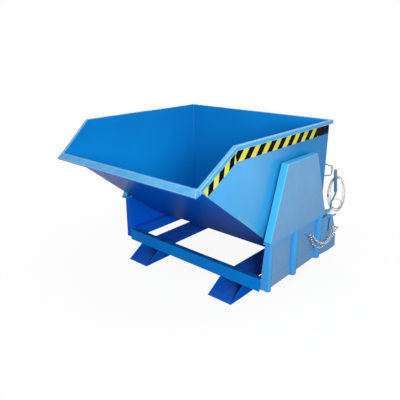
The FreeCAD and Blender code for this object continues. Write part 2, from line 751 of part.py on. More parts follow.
def rear_post():
    """Hollow corner post at the rear, leaning at the back, with a lid for the latch spring."""
    under_lid = REAR_POST_TOP - REAR_POST_LID_THICKNESS
    outline = [
        (REAR_POST_Y, POCKET_HEIGHT), (BASE_LENGTH, POCKET_HEIGHT),
        (BASE_LENGTH - REAR_POST_KNEE, REAR_POST_KNEE_Z),
        (REAR_POST_Y + REAR_POST_HEAD, under_lid), (REAR_POST_Y, under_lid),
    ]
    body = plate_x(outline, BASE_HALF_INSIDE, POST_OUTSIDE)
    inner = drawn_in(outline, POST_WALL)
    hollow = plate_x(inner, BASE_HALF_INSIDE + POST_WALL, POST_OUTSIDE - POST_WALL)
    lid = box(
        BASE_HALF_INSIDE, POST_OUTSIDE,
        REAR_POST_Y, REAR_POST_Y + REAR_POST_LID,
        under_lid, REAR_POST_TOP,
    )
    return fuse_all([body.cut(hollow), lid])


def side_rail():
    """Square tube along the foot of the side sheet, between the posts."""
    low_x = WALL_INSIDE - RAIL_WIDTH
    outer = box(low_x, WALL_INSIDE, FRONT_POST_DEPTH, REAR_POST_Y, POCKET_HEIGHT, BEAM_TOP)
    inner = box(
        low_x + FRAME_WALL, WALL_INSIDE - FRAME_WALL,
        FRONT_POST_DEPTH, REAR_POST_Y,
        POCKET_HEIGHT + FRAME_WALL, BEAM_TOP - FRAME_WALL,
    )
    return outer.cut(inner)


def side_wall():
    """Base side sheet, high under the tower's cap and lower behind it."""
    outline = [
        (FRONT_POST_DEPTH, POCKET_HEIGHT), (REAR_POST_Y, POCKET_HEIGHT),
        (REAR_POST_Y, WALL_REAR_TOP), (TOWER_FOOT_REAR_Y, WALL_REAR_TOP),
        (TOWER_FOOT_REAR_Y, CAP_UNDERSIDE), (FRONT_POST_DEPTH, CAP_UNDERSIDE),
    ]
    return plate_x(outline, WALL_INSIDE, WALL_OUTSIDE)


def rib(centre_y):
    """Folded upright channel with rounded edges, open towards the side sheet that it stiffens."""

    def bar(inset):
        radius = RIB_CORNER_RADIUS - inset
        half = RIB_WIDTH / 2 - inset
        bend_x = RIB_OUTSIDE - RIB_CORNER_RADIUS
        bend_y = RIB_WIDTH / 2 - RIB_CORNER_RADIUS
        ring = [
            Vector(WALL_OUTSIDE, centre_y + half, POCKET_HEIGHT),
            Vector(WALL_OUTSIDE, centre_y - half, POCKET_HEIGHT),
        ]
        ring += corner_arc(bend_x, centre_y - bend_y, radius, 3)
        ring += corner_arc(bend_x, centre_y + bend_y, radius, 0)
        return upright(ring)

    return bar(0).cut(bar(SHEET))


def skirt():
    """Strips along the foot of the side sheet, between the front post and the ribs."""
    half = RIB_WIDTH / 2
    stops = [
        (FRONT_POST_DEPTH, RIB_FRONT_Y - half),
        (RIB_FRONT_Y + half, RIB_REAR_Y - half),
    ]
    outside = WALL_OUTSIDE + SKIRT_THICKNESS
    strips = [
        box(WALL_OUTSIDE, outside, low, high, POCKET_HEIGHT, BEAM_TOP)
        for low, high in stops
    ]
    return Part.makeCompound(strips)


def rear_cheek():
    """Cover plate between rear rib and rear post, folded in along the rib, with a slot at the latch."""
    inner = POST_OUTSIDE - CHEEK_THICKNESS
    front = RIB_REAR_Y + RIB_WIDTH / 2
    slot_front = REAR_POST_Y - CHEEK_SLOT_FRONT_SETBACK
    slot_rear = REAR_POST_Y - CHEEK_SLOT_REAR_SETBACK
    outline = [
        (front, CHEEK_FOOT_Z), (REAR_POST_Y, POCKET_HEIGHT), (REAR_POST_Y, CHEEK_REAR_TOP),
        (slot_rear, CHEEK_REAR_TOP), (slot_rear, CHEEK_SLOT_Z), (slot_front, CHEEK_SLOT_Z),
        (slot_front, CHEEK_FRONT_TOP), (front, CHEEK_FRONT_TOP),
    ]
    fold_rear = front + CHEEK_THICKNESS
    fold = box(WALL_OUTSIDE, POST_OUTSIDE, front, fold_rear, CHEEK_FOOT_Z, CHEEK_FRONT_TOP)
    return fuse_all([plate_x(outline, inner, POST_OUTSIDE), fold])


def rest_block():
    """Block on the side rail that the closed tub's floor rests on."""
    low_x = WALL_INSIDE - RAIL_WIDTH
    high_x = TUB_HALF_WIDTH - SHEET
    half = REST_BLOCK_LENGTH / 2
    top = FLOOR_HEIGHT - TOUCH
    return box(low_x, high_x, REST_BLOCK_Y - half, REST_BLOCK_Y + half, BEAM_TOP, top)


def cap():
    """Flat bar on top of the posts, ribs and side sheet, for the tower to stand on."""
    return box(
        BASE_HALF_INSIDE, TOWER_OUTSIDE + CAP_OVERHANG,
        TOWER_FOOT_FRONT_Y - CAP_OVERHANG, TOWER_FOOT_REAR_Y + CAP_OVERHANG,
        CAP_UNDERSIDE, CAP_HEIGHT,
    )


def right_cap():
    """The same bar with a narrow tongue that covers the latch from outside."""
    outside = TOWER_OUTSIDE + CAP_OVERHANG
    rear = TOWER_FOOT_REAR_Y + CAP_OVERHANG
    tongue = box(
        outside - CAP_TONGUE_WIDTH, outside,
        rear, rear + CAP_TONGUE_LENGTH,
        CAP_UNDERSIDE, CAP_HEIGHT,
    )
    return fuse_all([cap(), tongue])


def tower_outline(inset):
    """Side view of the tower, drawn in by an inset on all edges but the foot, as (y, z) points."""
    rise = TOWER_TOP - CAP_HEIGHT

    def slanted(foot, top, side):
        run = top - foot
        shift = side * inset * math.hypot(run, rise) / rise

        def at(z):
            return foot + shift + run * (z - CAP_HEIGHT) / rise
        return at

    front = slanted(TOWER_FOOT_FRONT_Y, TOWER_TOP_FRONT_Y, 1)
    rear = slanted(TOWER_FOOT_REAR_Y, TOWER_TOP_REAR_Y, -1)
    top = TOWER_TOP - inset
    return [
        (front(CAP_HEIGHT), CAP_HEIGHT), (front(top), top),
        (rear(top), top), (rear(CAP_HEIGHT), CAP_HEIGHT),
    ]


def tower():
    """Folded tray that covers the tilt bearing, open towards the tub and at its foot."""
    block = plate_x(tower_outline(0), BASE_HALF_INSIDE, TOWER_OUTSIDE)
    folds = [
        edge for edge in block.Edges
        if edge.BoundBox.XMin > TOWER_OUTSIDE - SHEET and edge.BoundBox.ZMax > CAP_HEIGHT + SHEET
    ]
    rounded = block.makeFillet(TOWER_FOLD_RADIUS, folds)
    hollow = plate_x(tower_outline(SHEET), BASE_HALF_INSIDE, TOWER_OUTSIDE - SHEET)
    reliefs = [
        flat_rod(
            Vector(BASE_HALF_INSIDE, y, CAP_HEIGHT), Vector(TOWER_OUTSIDE, y, CAP_HEIGHT),
            TOWER_RELIEF_RADIUS, ROD_SIDES,
        )
        for y in (TOWER_FOOT_FRONT_Y, TOWER_FOOT_REAR_Y)
    ]
    return rounded.cut([hollow] + reliefs)


def bearing_pillar():
    """Channel inside the tower that carries the bearing block."""
    low_x = BASE_HALF_INSIDE + BEARING_SIDE_GAP
    high_x = TOWER_OUTSIDE - SHEET
    top = PIVOT_Z - BEARING_BLOCK / 2
    half = PILLAR_DEPTH / 2
    outer = box(low_x, high_x, PIVOT_Y - half, PIVOT_Y + half, CAP_HEIGHT, top)
    inner = box(
        low_x, high_x - FRAME_WALL,
        PIVOT_Y - half + FRAME_WALL, PIVOT_Y + half - FRAME_WALL,
        CAP_HEIGHT, top,
    )
    return outer.cut(inner)


def bearing_block():
    """Block on the pillar, bored for the bush."""
    low_x = BASE_HALF_INSIDE + BEARING_SIDE_GAP
    high_x = TOWER_OUTSIDE - SHEET
    half = BEARING_BLOCK / 2
    block = box(low_x, high_x, PIVOT_Y - half, PIVOT_Y + half, PIVOT_Z - half, PIVOT_Z + half)
    radius = PIVOT_PIN_RADIUS + PIVOT_CLEARANCE + BUSH_WALL
    return block.cut(rod(PIVOT + X_AXIS * low_x, PIVOT + X_AXIS * high_x, radius))


def pivot_bush():
    """Plain bush in the bearing block."""
    low_x = BASE_HALF_INSIDE + BEARING_SIDE_GAP
    high_x = TOWER_OUTSIDE - SHEET
    start = PIVOT + X_AXIS * low_x
    end = PIVOT + X_AXIS * high_x
    bore = PIVOT_PIN_RADIUS + PIVOT_CLEARANCE
    return rod(start, end, bore + BUSH_WALL).cut(rod(start, end, bore))


def build_base():
    """The fixed frame, its towers and bearings."""
    save_pair("fork_pocket", fork_pocket())
    save("front_beam", front_beam())
    save("rear_beam", rear_beam())
    save_pair("front_post", front_post())
    save_pair("rear_post", rear_post())
    save_pair("side_rail", side_rail())
    save_pair("side_wall", side_wall())
    save_pair("front_rib", rib(RIB_FRONT_Y))
    save_pair("rear_rib", rib(RIB_REAR_Y))
    save_both("skirts", skirt())
    save_both("rear_cheeks", rear_cheek())
    save_both("rest_blocks", rest_block())
    save("cap_left", mirrored(cap()))
    save("cap_right", right_cap())
    save_pair("tower", tower())
    save_pair("bearing_pillar", bearing_pillar())
    save_pair("bearing_block", bearing_block())
    save_pair("pivot_bush", pivot_bush())


# Latch and hand lever

def latch_pin():
    """Headed pin that the latch hook turns on, fixed to the base side sheet."""
    centre = Vector(0, HOOK_PIVOT_Y, HOOK_PIVOT_Z)
    outside = HOOK_OUTSIDE + HOOK_SIDE_GAP + BRACKET_THICKNESS
    shank = rod(centre + X_AXIS * WALL_OUTSIDE, centre + X_AXIS * outside, HOOK_PIN_RADIUS)
    head_end = outside + PIN_HEAD_THICKNESS
    head = flat_rod(centre + X_AXIS * outside, centre + X_AXIS * head_end, PIN_HEAD_RADIUS, NUT_SIDES)
    return fuse_all([shank, head])


def latch_bracket():
    """Folded cheek that holds the outer end of the latch pin, open at the top for the hook."""
    cheek_in = HOOK_OUTSIDE + HOOK_SIDE_GAP
    cheek_out = cheek_in + BRACKET_THICKNESS
    front = HOOK_PIVOT_Y - BRACKET_REACH
    rear = HOOK_PIVOT_Y + BRACKET_REACH
    low = HOOK_PIVOT_Z - BRACKET_REACH
    cheek = box(cheek_in, cheek_out, front, rear, low, HOOK_PIVOT_Z + BRACKET_REACH)
    web = box(WALL_OUTSIDE, cheek_in, front, rear, low, low + BRACKET_THICKNESS)
    centre = Vector(0, HOOK_PIVOT_Y, HOOK_PIVOT_Z)
    hole = rod(centre + X_AXIS * cheek_in, centre + X_AXIS * cheek_out, HOOK_PIN_RADIUS)
    return fuse_all([cheek, web]).cut(hole)


def latch_guard():
    """Flat strap on the cheek plate and the rear post, outside the latch."""
    start = TOWER_FOOT_REAR_Y + STRAP_START
    end = start + STRAP_LENGTH
    end_top = STRAP_TOP - STRAP_FALL
    outline = [
        (start, STRAP_TOP - STRAP_HEIGHT), (end, end_top - STRAP_HEIGHT),
        (end, end_top), (start, STRAP_TOP),
    ]
    return plate_x(outline, POST_OUTSIDE, POST_OUTSIDE + STRAP_THICKNESS)


def latch_hook():
    """Hook plate: a boss on the pin, a nose over the stud and an arm for the hand lever."""
    throat = STUD_Y + STUD_RADIUS + HOOK_STUD_GAP
    nose_low = STUD_Z + STUD_RADIUS + HOOK_STUD_GAP
    nose_high = nose_low + HOOK_NOSE_HEIGHT
    nose_front = STUD_Y - STUD_RADIUS + HOOK_STUD_GAP
    back = HOOK_PIVOT_Y + HOOK_BOSS_RADIUS
    arm_top = HOOK_ARM_BOTTOM + HOOK_ARM_HEIGHT
    chamfer = HOOK_NOSE_HEIGHT / 2
    outline = [
        (throat, HOOK_PIVOT_Z), (back, HOOK_PIVOT_Z),
        (back, HOOK_ARM_BOTTOM - HOOK_BOSS_RADIUS), (back + HOOK_BOSS_RADIUS, HOOK_ARM_BOTTOM),
        (HOOK_ARM_END_Y, HOOK_ARM_BOTTOM), (HOOK_ARM_END_Y, arm_top), (back, arm_top),
        (back - HOOK_BOSS_RADIUS / 2, nose_high), (nose_front + chamfer, nose_high),
        (nose_front, nose_high - chamfer), (nose_front, nose_low), (throat, nose_low),
    ]
    plate = plate_x(outline, HOOK_INSIDE, HOOK_OUTSIDE)
    centre = Vector(0, HOOK_PIVOT_Y, HOOK_PIVOT_Z)
    boss = rod(centre + X_AXIS * HOOK_INSIDE, centre + X_AXIS * HOOK_OUTSIDE, HOOK_BOSS_RADIUS)
    bore_radius = HOOK_PIN_RADIUS + PIN_CLEARANCE
    bore = rod(centre + X_AXIS * HOOK_INSIDE, centre + X_AXIS * HOOK_OUTSIDE, bore_radius)
    return fuse_all([plate, boss]).cut(bore)


def lever_points():
    """Foot, knee, lower and upper end of the grip along the hand lever."""
    foot = Vector(HOOK_MIDDLE, LEVER_FOOT_Y, HOOK_ARM_BOTTOM + HOOK_ARM_HEIGHT)
    knee = Vector(HOOK_MIDDLE, LEVER_FOOT_Y, LEVER_KNEE_Z)
    grip_low = Vector(HOOK_MIDDLE, GRIP_LOW_Y, GRIP_LOW_Z)
    grip_top = Vector(HOOK_MIDDLE, GRIP_TOP_Y, GRIP_TOP_Z)
    return foot, knee, grip_low, grip_top


def lever_rod():
    """Bent round bar from the hook's arm to the grip."""
    foot, knee, grip_low, grip_top = lever_points()
    axis = (grip_top - grip_low).normalize()
    into_grip = grip_low + axis * (2 * LEVER_BEND_RADIUS)
    path = rounded_points([foot, knee, grip_low, into_grip], LEVER_BEND_RADIUS)
    return bent_rod(path, LEVER_RADIUS, ROD_SIDES)


def lever_grip():
    """Grip with bevelled ends, pushed on the rod."""
    grip_low, grip_top = lever_points()[2:]
    axis = (grip_top - grip_low).normalize()
    start = grip_low + axis * LEVER_BEND_RADIUS
    length = (grip_top - start).Length
    step = GRIP_END_RADIUS * (1 - math.sin(math.pi / 4))
    low_end = [
        (0, GRIP_RADIUS - GRIP_END_RADIUS), (step, GRIP_RADIUS - step), (GRIP_END_RADIUS, GRIP_RADIUS),
    ]
    high_end = [(length - along, radius) for along, radius in reversed(low_end)]
    rings = []
    for along, radius in low_end + high_end:
        ring = flat_sided_ring(start + axis * along, axis, radius, ROD_SIDES)
        rings.append([vertex.Point for vertex in ring.Vertexes[:ROD_SIDES]])
    return ringed_solid(rings).cut(lever_rod())


def grip_axis_y(z):
    """Where the grip's axis is at a height."""
    share = (z - GRIP_LOW_Z) / (GRIP_TOP_Z - GRIP_LOW_Z)
    return GRIP_LOW_Y + share * (GRIP_TOP_Y - GRIP_LOW_Y)


def peg_end_y():
    """Outer end of the rope peg's shank, behind the last loop of the rope."""
    return grip_axis_y(PEG_Z) + GRIP_RADIUS + ROPE_LOOPS * ROPE_STEP + 3 * ROPE_DIAMETER


def rope_peg():
    """Headed peg on the back of the grip that the rope coil hangs on."""
    start = Vector(HOOK_MIDDLE, grip_axis_y(PEG_Z), PEG_Z)
    end = Vector(HOOK_MIDDLE, peg_end_y(), PEG_Z)
    shank = flat_rod(start, end, PEG_RADIUS, ROD_SIDES)
    head = flat_rod(end, end + Y_AXIS * PEG_HEAD_THICKNESS, PEG_HEAD_RADIUS, ROD_SIDES)
    return fuse_all([shank, head]).cut(lever_grip())


def latch_spring():
    """Compression spring between the rear post and the lever arm, as one wound wire."""
    low = REAR_POST_TOP + SPRING_WIRE / 2
    high = HOOK_ARM_BOTTOM - SPRING_WIRE / 2
    chords = SPRING_TURNS * SPRING_CHORDS
    points = []
    for chord in range(chords + 1):
        angle = 2 * math.pi * chord / SPRING_CHORDS
        points.append(Vector(
            HOOK_MIDDLE + SPRING_RADIUS * math.cos(angle),
            SPRING_Y + SPRING_RADIUS * math.sin(angle),
            low + (high - low) * chord / chords,
        ))
    print("latch spring least gap", round(least_gap(Part.makePolygon(points), SPRING_WIRE, 1.0), 2))
    return bent_rod(points, SPRING_WIRE / 2, WIRE_SIDES)


def rope_path():
    """Loops of the rope over the peg, then a small eye at the bottom of the last loop."""
    radius = ROPE_DIAMETER / 2
    top_z = PEG_Z + PEG_RADIUS + radius + TOUCH
    first_y = grip_axis_y(PEG_Z) + GRIP_RADIUS + 2 * ROPE_DIAMETER
    quarter_step = ROPE_STEP / 4
    headings = [Vector(1, 0, 0), Vector(0, 0, -1), Vector(-1, 0, 0), Vector(0, 0, 1)]

    def place(quarter):
        loop, part = divmod(quarter, 4)
        spread = ROPE_SPREAD * (loop % 2)
        half = ROPE_HALF_WIDTH + spread
        drop = ROPE_DROP + 2 * spread
        y = first_y + quarter_step * quarter
        middle_z = top_z - drop / 2
        spots = [
            Vector(HOOK_MIDDLE, y, top_z), Vector(HOOK_MIDDLE + half, y, middle_z),
            Vector(HOOK_MIDDLE, y, top_z - drop), Vector(HOOK_MIDDLE - half, y, middle_z),
        ]
        return spots[part]

    # The rope starts with a straight end at the ferrule, left of the first loop's bottom.
    last_quarter = 4 * ROPE_LOOPS + 2
    first = place(3)
    start = first - Z_AXIS * (3 * ROPE_DIAMETER)
    edges = [Part.makeLine(start, first)]
    for quarter in range(3, last_quarter):
        edges += biarc(
            place(quarter), headings[quarter % 4],
            place(quarter + 1), headings[(quarter + 1) % 4],
        )

    # The eye turns once in the same plane, one step further back, and runs straight at its end.
    bottom = place(last_quarter)
    eye = [
        Vector(-1, 0, 1), Vector(0, 0, 2), Vector(1, 0, 1), Vector(0, 0, 0),
    ]
    here = bottom
    for count, spot in enumerate(eye):
        there = bottom + spot * ROPE_EYE_RADIUS + Y_AXIS * (ROPE_STEP * (count + 1) / 4)
        edges += biarc(here, headings[(count + 2) % 4], there, headings[(count + 3) % 4])
        here = there
    end = here - X_AXIS * (3 * ROPE_DIAMETER)
    edges.append(Part.makeLine(here, end))
    return Part.Wire(edges), start, end


def build_latch():
    """Hook, hand lever and what hangs on it, with the fixed pieces beside them."""
    save("latch_pin", latch_pin())
    save("latch_bracket", latch_bracket())
    save("latch_guard", latch_guard())
    save("latch_hook", latch_hook())
    save("lever_rod", lever_rod())
    save("lever_grip", lever_grip())
    save("rope_peg", rope_peg())
    save("latch_spring", latch_spring())
    path, start, end = rope_path()
    print("rope length", round(path.Length), "least gap", round(least_gap(path, ROPE_DIAMETER, 3.0), 2))
    save("rope_coil", rope_along(path))
    ends = [
        flat_rod(start, start - Z_AXIS * FERRULE_LENGTH, FERRULE_RADIUS, ROD_SIDES),
        flat_rod(end, end - X_AXIS * FERRULE_LENGTH, FERRULE_RADIUS, ROD_SIDES),
    ]
    save("rope_ferrules", Part.makeCompound(ends))


# Safety chain

def catenary(start, end, length):
    """Hanging curve of a given length between two (y, z) points, as a function of arc length."""
    span = end[0] - start[0]
    rise = end[1] - start[1]
    target = math.sqrt(length ** 2 - rise ** 2)
    low, high = 1.0, 100.0 * length
    while high - low > 1e-9:
        tension = (low + high) / 2
        if 2 * tension * math.sinh(span / (2 * tension)) > target:
            low = tension
        else:
            high = tension
    spread = 2 * tension * math.sinh(span / (2 * tension))
    lowest = (start[0] + end[0]) / 2 - tension * math.asinh(rise / spread)
    base = start[1] - tension * math.cosh((start[0] - lowest) / tension)
    first = math.sinh((start[0] - lowest) / tension)

    def at(arc):
        slope = first + arc / tension
        y = lowest + tension * math.asinh(slope)
        z = base + tension * math.sqrt(1 + slope ** 2)
        return (y, z), unit(1, slope)
    return at


def link():
    """One chain link, flat in the (x, y) plane, its length along x, made of flat-sided wire."""
    centre_radius = (LINK_INSIDE_WIDTH + LINK_WIRE) / 2
    half_straight = (LINK_INSIDE_LENGTH - LINK_INSIDE_WIDTH) / 2
    outside = LINK_WIRE / 2 / math.cos(math.pi / LINK_SIDES)
    stretch = 1 / math.cos(math.pi / LINK_ARC_STEPS / 2)

    def ring(centre_x, angle):
        """Section of the wire in the plane that holds the arc's axis, at an angle round it."""
        points = []
        for side in range(LINK_SIDES):
            turn = 2 * math.pi * (side + 0.5) / LINK_SIDES
            out = (centre_radius + outside * math.cos(turn)) * stretch
            height = outside * math.sin(turn)
            points.append(Vector(centre_x + out * math.cos(angle), out * math.sin(angle), height))
        return points

    rings = []
    for centre_x, first_angle in ((half_straight, -math.pi / 2), (-half_straight, math.pi / 2)):
        for step in range(LINK_ARC_STEPS):
            angle = first_angle + math.pi * (step + 0.5) / LINK_ARC_STEPS
            rings.append(ring(centre_x, angle))
    faces = []
    for here, there in zip(rings, rings[1:] + rings[:1]):
        for side in range(LINK_SIDES):
            after = (side + 1) % LINK_SIDES
            faces.append(face([here[side], there[side], there[after], here[after]]))
    return Part.Solid(Part.Shell(faces))


def chain_strand(x, count):
    """Links that hang from the hook to the anchor in one upright plane."""
    reach = LINK_INSIDE_LENGTH / 2 - HOOK_PEG_RADIUS - TOUCH
    pitch = LINK_INSIDE_LENGTH - LINK_GAP
    length = (count - 1) * pitch + 2 * reach
    curve = catenary((CHAIN_HOOK_Y, CHAIN_HOOK_Z), (CHAIN_ANCHOR_Y, CHAIN_ANCHOR_Z), length)
    pattern = link()
    links = []
    for number in range(count):
        (y, z), along = curve(reach + number * pitch)
        piece = pattern.copy()
        if number % 2 == 0:
            piece.rotate(Vector(0, 0, 0), Y_AXIS, 90)
            piece.rotate(Vector(0, 0, 0), X_AXIS, 90)
        else:
            piece.rotate(Vector(0, 0, 0), Z_AXIS, 90)
        piece.rotate(Vector(0, 0, 0), X_AXIS, math.degrees(math.atan2(along[1], along[0])))
        piece.translate(Vector(x, y, z))
        links.append(piece)
    return Part.makeCompound(links)


def chain_hook():
    """Hook on the base side sheet for the chain's bight, turned up at its end."""
    root = Vector(WALL_OUTSIDE, CHAIN_HOOK_Y, CHAIN_HOOK_Z)
    corner = Vector(CHAIN_HOOK_END, CHAIN_HOOK_Y, CHAIN_HOOK_Z)
    tip = corner + Z_AXIS * CHAIN_HOOK_TIP
    path = rounded_points([root, corner, tip], 2 * HOOK_PEG_RADIUS)
    return bent_rod(path, HOOK_PEG_RADIUS, ROD_SIDES)


def chain_anchor():
    """Headed pin on the rear post that holds the chain's end links."""
    root = Vector(POST_OUTSIDE, CHAIN_ANCHOR_Y, CHAIN_ANCHOR_Z)
    end = Vector(CHAIN_ANCHOR_END, CHAIN_ANCHOR_Y, CHAIN_ANCHOR_Z)
    thickness = X_AXIS * CHAIN_ANCHOR_FLANGE_THICKNESS
    foot = flat_rod(root, root + thickness, CHAIN_ANCHOR_FLANGE, ROD_SIDES)
    head = flat_rod(end, end + thickness, CHAIN_ANCHOR_FLANGE / 2, NUT_SIDES)
    return fuse_all([foot, flat_rod(root, end, HOOK_PEG_RADIUS, ROD_SIDES), head])


def build_chain():
    """Safety chain, parked on the right side of the base."""
    save("chain_lower", chain_strand(LOWER_STRAND_X, LOWER_LINKS))
    save("chain_upper", chain_strand(UPPER_STRAND_X, UPPER_LINKS))
    save("chain_hook", chain_hook())
    save("chain_anchor", chain_anchor())


os.makedirs("parts", exist_ok=True)
build_tub()
build_base()
build_latch()
build_chain()
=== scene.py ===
# %% [markdown]
# # A forklift tipping skip
#
# This lesson dresses a welded steel skip. A deep tub hangs between two bearing towers, and the towers
# stand on a frame with two pockets for the forks of a truck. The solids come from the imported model, in
# metres. Blender adds what the eye expects: softened sheet edges, weld beads, round wire, paint and light.

import json
import math

import bpy
from mathutils import Matrix, Vector

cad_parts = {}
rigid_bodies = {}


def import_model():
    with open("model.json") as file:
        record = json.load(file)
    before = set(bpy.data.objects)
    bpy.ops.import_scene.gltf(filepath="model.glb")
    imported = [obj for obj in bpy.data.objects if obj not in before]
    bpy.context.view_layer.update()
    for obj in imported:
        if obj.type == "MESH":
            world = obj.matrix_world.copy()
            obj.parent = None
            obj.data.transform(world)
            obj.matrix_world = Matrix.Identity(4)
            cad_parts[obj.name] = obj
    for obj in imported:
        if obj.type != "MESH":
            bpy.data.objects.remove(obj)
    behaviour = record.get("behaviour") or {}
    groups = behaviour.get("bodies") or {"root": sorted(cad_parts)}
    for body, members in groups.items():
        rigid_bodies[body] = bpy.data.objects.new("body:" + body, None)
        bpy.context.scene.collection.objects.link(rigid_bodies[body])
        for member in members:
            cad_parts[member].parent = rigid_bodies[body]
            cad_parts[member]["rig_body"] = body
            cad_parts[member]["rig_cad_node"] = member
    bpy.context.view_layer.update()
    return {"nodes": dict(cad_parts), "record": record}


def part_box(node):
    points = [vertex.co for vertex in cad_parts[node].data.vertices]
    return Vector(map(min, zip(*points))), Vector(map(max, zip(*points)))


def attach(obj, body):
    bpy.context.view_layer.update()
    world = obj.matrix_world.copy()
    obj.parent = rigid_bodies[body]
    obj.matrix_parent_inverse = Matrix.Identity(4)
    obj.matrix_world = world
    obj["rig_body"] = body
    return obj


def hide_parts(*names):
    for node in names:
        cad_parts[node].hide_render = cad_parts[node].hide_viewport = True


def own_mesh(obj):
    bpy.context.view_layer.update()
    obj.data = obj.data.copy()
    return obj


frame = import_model()
nodes = frame["nodes"]
body_of_node = {
    node: body
    for body, members in frame["record"]["behaviour"]["bodies"].items()
    for node in members
}

# %% [markdown]
# ## Small helpers
#
# Blender's operators act on whatever is selected, and the loaded nodes are all selected. So every step
# starts by selecting one object alone. Most work on a mesh is done in edit mode with all of it selected.
# A finished piece is handed to a body, so that it moves with it.

# %% Selection, edit mode and hand-over
def select_only(piece):
    """Make one object the only selected one, and the active one."""
    bpy.ops.object.select_all(action="DESELECT")
    piece.select_set(True)
    bpy.context.view_layer.objects.active = piece


def open_mesh():
    """Go into edit mode on the active object, with all of its mesh selected."""
    bpy.ops.object.mode_set(mode="EDIT")
    bpy.ops.mesh.select_all(action="SELECT")


def close_mesh():
    """Go back to object mode."""
    bpy.ops.object.mode_set(mode="OBJECT")


def apply_place():
    """Move the active object's place, turn and scale into its mesh."""
    bpy.ops.object.transform_apply(location=True, rotation=True, scale=True)


def new_object(name, data):
    """Object for a new mesh or curve, selected alone."""
    piece = bpy.data.objects.new(name, data)
    bpy.context.scene.collection.objects.link(piece)
    select_only(piece)
    return piece


def cover(piece, finish):
    """Give a piece one finish in place of those it had."""
    piece.data.materials.clear()
    piece.data.materials.append(finish)


def hand_over(piece, name, body, finish):
    """Name a piece, give it its finish, and let it ride on a body."""
    piece.name = name
    cover(piece, finish)
    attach(piece, body)
    return piece


# %% [markdown]
# ## The camera
#
# The photo was taken from the front right, a little above the rim. The camera could be set by eye. The lines
# of the skip's edges meet in three vanishing points, and these give its place, turn and lens more closely.

# %% Camera
CAMERA_PLACE = (1.852, -2.368, 1.487)
CAMERA_TILT = 70.57
CAMERA_TURN = 41.22
SENSOR_WIDTH = 36.0
LENS_LENGTH = 40.2

bpy.ops.object.camera_add(location=CAMERA_PLACE)
camera = bpy.context.active_object
camera.rotation_euler = (math.radians(CAMERA_TILT), 0.0, math.radians(CAMERA_TURN))
camera.data.sensor_width = SENSOR_WIDTH
camera.data.lens = LENS_LENGTH
bpy.context.scene.camera = camera
print("camera", [round(v, 3) for v in camera.location])

# %% [markdown]
# ## Effects that several finishes share
#
# Paint and metal are never one flat colour. Their marks could be painted by hand as a picture, but then
# each piece would have to be unfolded for it. Here they are worked out from where a point lies and from the
# way its face looks. Each effect is built once as a node group with named sockets, and each finish sets its
# own values.

# %% Helpers for node groups
# A Mix node has one set of sockets for each kind of data, and these are the places of its colours
COLOUR_A, COLOUR_B, COLOUR_OUT = 6, 7, 2


def new_group(name, inputs, outputs):
    """Empty shader node group with named sockets, given as (name, type, default)."""
    group = bpy.data.node_groups.new(name, "ShaderNodeTree")
    for title, kind, value in inputs:
        socket = group.interface.new_socket(name=title, in_out="INPUT", socket_type=kind)
        socket.default_value = value
    for title, kind in outputs:
        group.interface.new_socket(name=title, in_out="OUTPUT", socket_type=kind)
    entry = group.nodes.new("NodeGroupInput")
    leave = group.nodes.new("NodeGroupOutput")
    return group, entry.outputs, leave.inputs


def noise(tree, vector, scale, detail, rough):
    """Noise texture that reads a vector."""
    node = tree.nodes.new("ShaderNodeTexNoise")
    node.inputs["Scale"].default_value = scale
    node.inputs["Detail"].default_value = detail
    node.inputs["Roughness"].default_value = rough
    tree.links.new(vector, node.inputs["Vector"])
    return node.outputs["Fac"]


def span(tree, value, start, end=(0.0, 1.0)):
    """Value mapped from one range to another, held at the ends."""
    node = tree.nodes.new("ShaderNodeMapRange")
    for title, number in zip(("From Min", "From Max", "To Min", "To Max"), (*start, *end)):
        node.inputs[title].default_value = number
    tree.links.new(value, node.inputs["Value"])
    return node.outputs["Result"]


def maths(tree, operation, first, second):
    """One step of arithmetic on two values, each a socket or a number."""
    node = tree.nodes.new("ShaderNodeMath")
    node.operation = operation
    for socket, value in zip(node.inputs, (first, second)):
        if isinstance(value, (int, float)):
            socket.default_value = value
        else:
            tree.links.new(value, socket)
    return node.outputs["Value"]


def times(tree, first, second):
    """Product of two values, each a socket or a number."""
    return maths(tree, "MULTIPLY", first, second)


def mixed(tree, share, first, second):
    """Two colours mixed by a share, each a socket or four numbers."""
    node = tree.nodes.new("ShaderNodeMix")
    node.data_type = "RGBA"
    tree.links.new(share, node.inputs["Factor"])
    for socket, value in ((node.inputs[COLOUR_A], first), (node.inputs[COLOUR_B], second)):
        if isinstance(value, tuple):
            socket.default_value = value
        else:
            tree.links.new(value, socket)
    return node.outputs[COLOUR_OUT]


def axes(tree, vector):
    """The X, Y and Z of a vector, each a socket."""
    node = tree.nodes.new("ShaderNodeSeparateXYZ")
    tree.links.new(vector, node.inputs["Vector"])
    return node.outputs


def tone(red, green, blue):
    """Colour for a shader from the 0 to 255 values that a picture shows."""
    def linear(value):
        share = value / 255
        return share / 12.92 if share <= 0.04045 else ((share + 0.055) / 1.055) ** 2.4
    return (linear(red), linear(green), linear(blue), 1.0)


print("middle grey of a picture in a shader", round(tone(128, 128, 128)[0], 3))
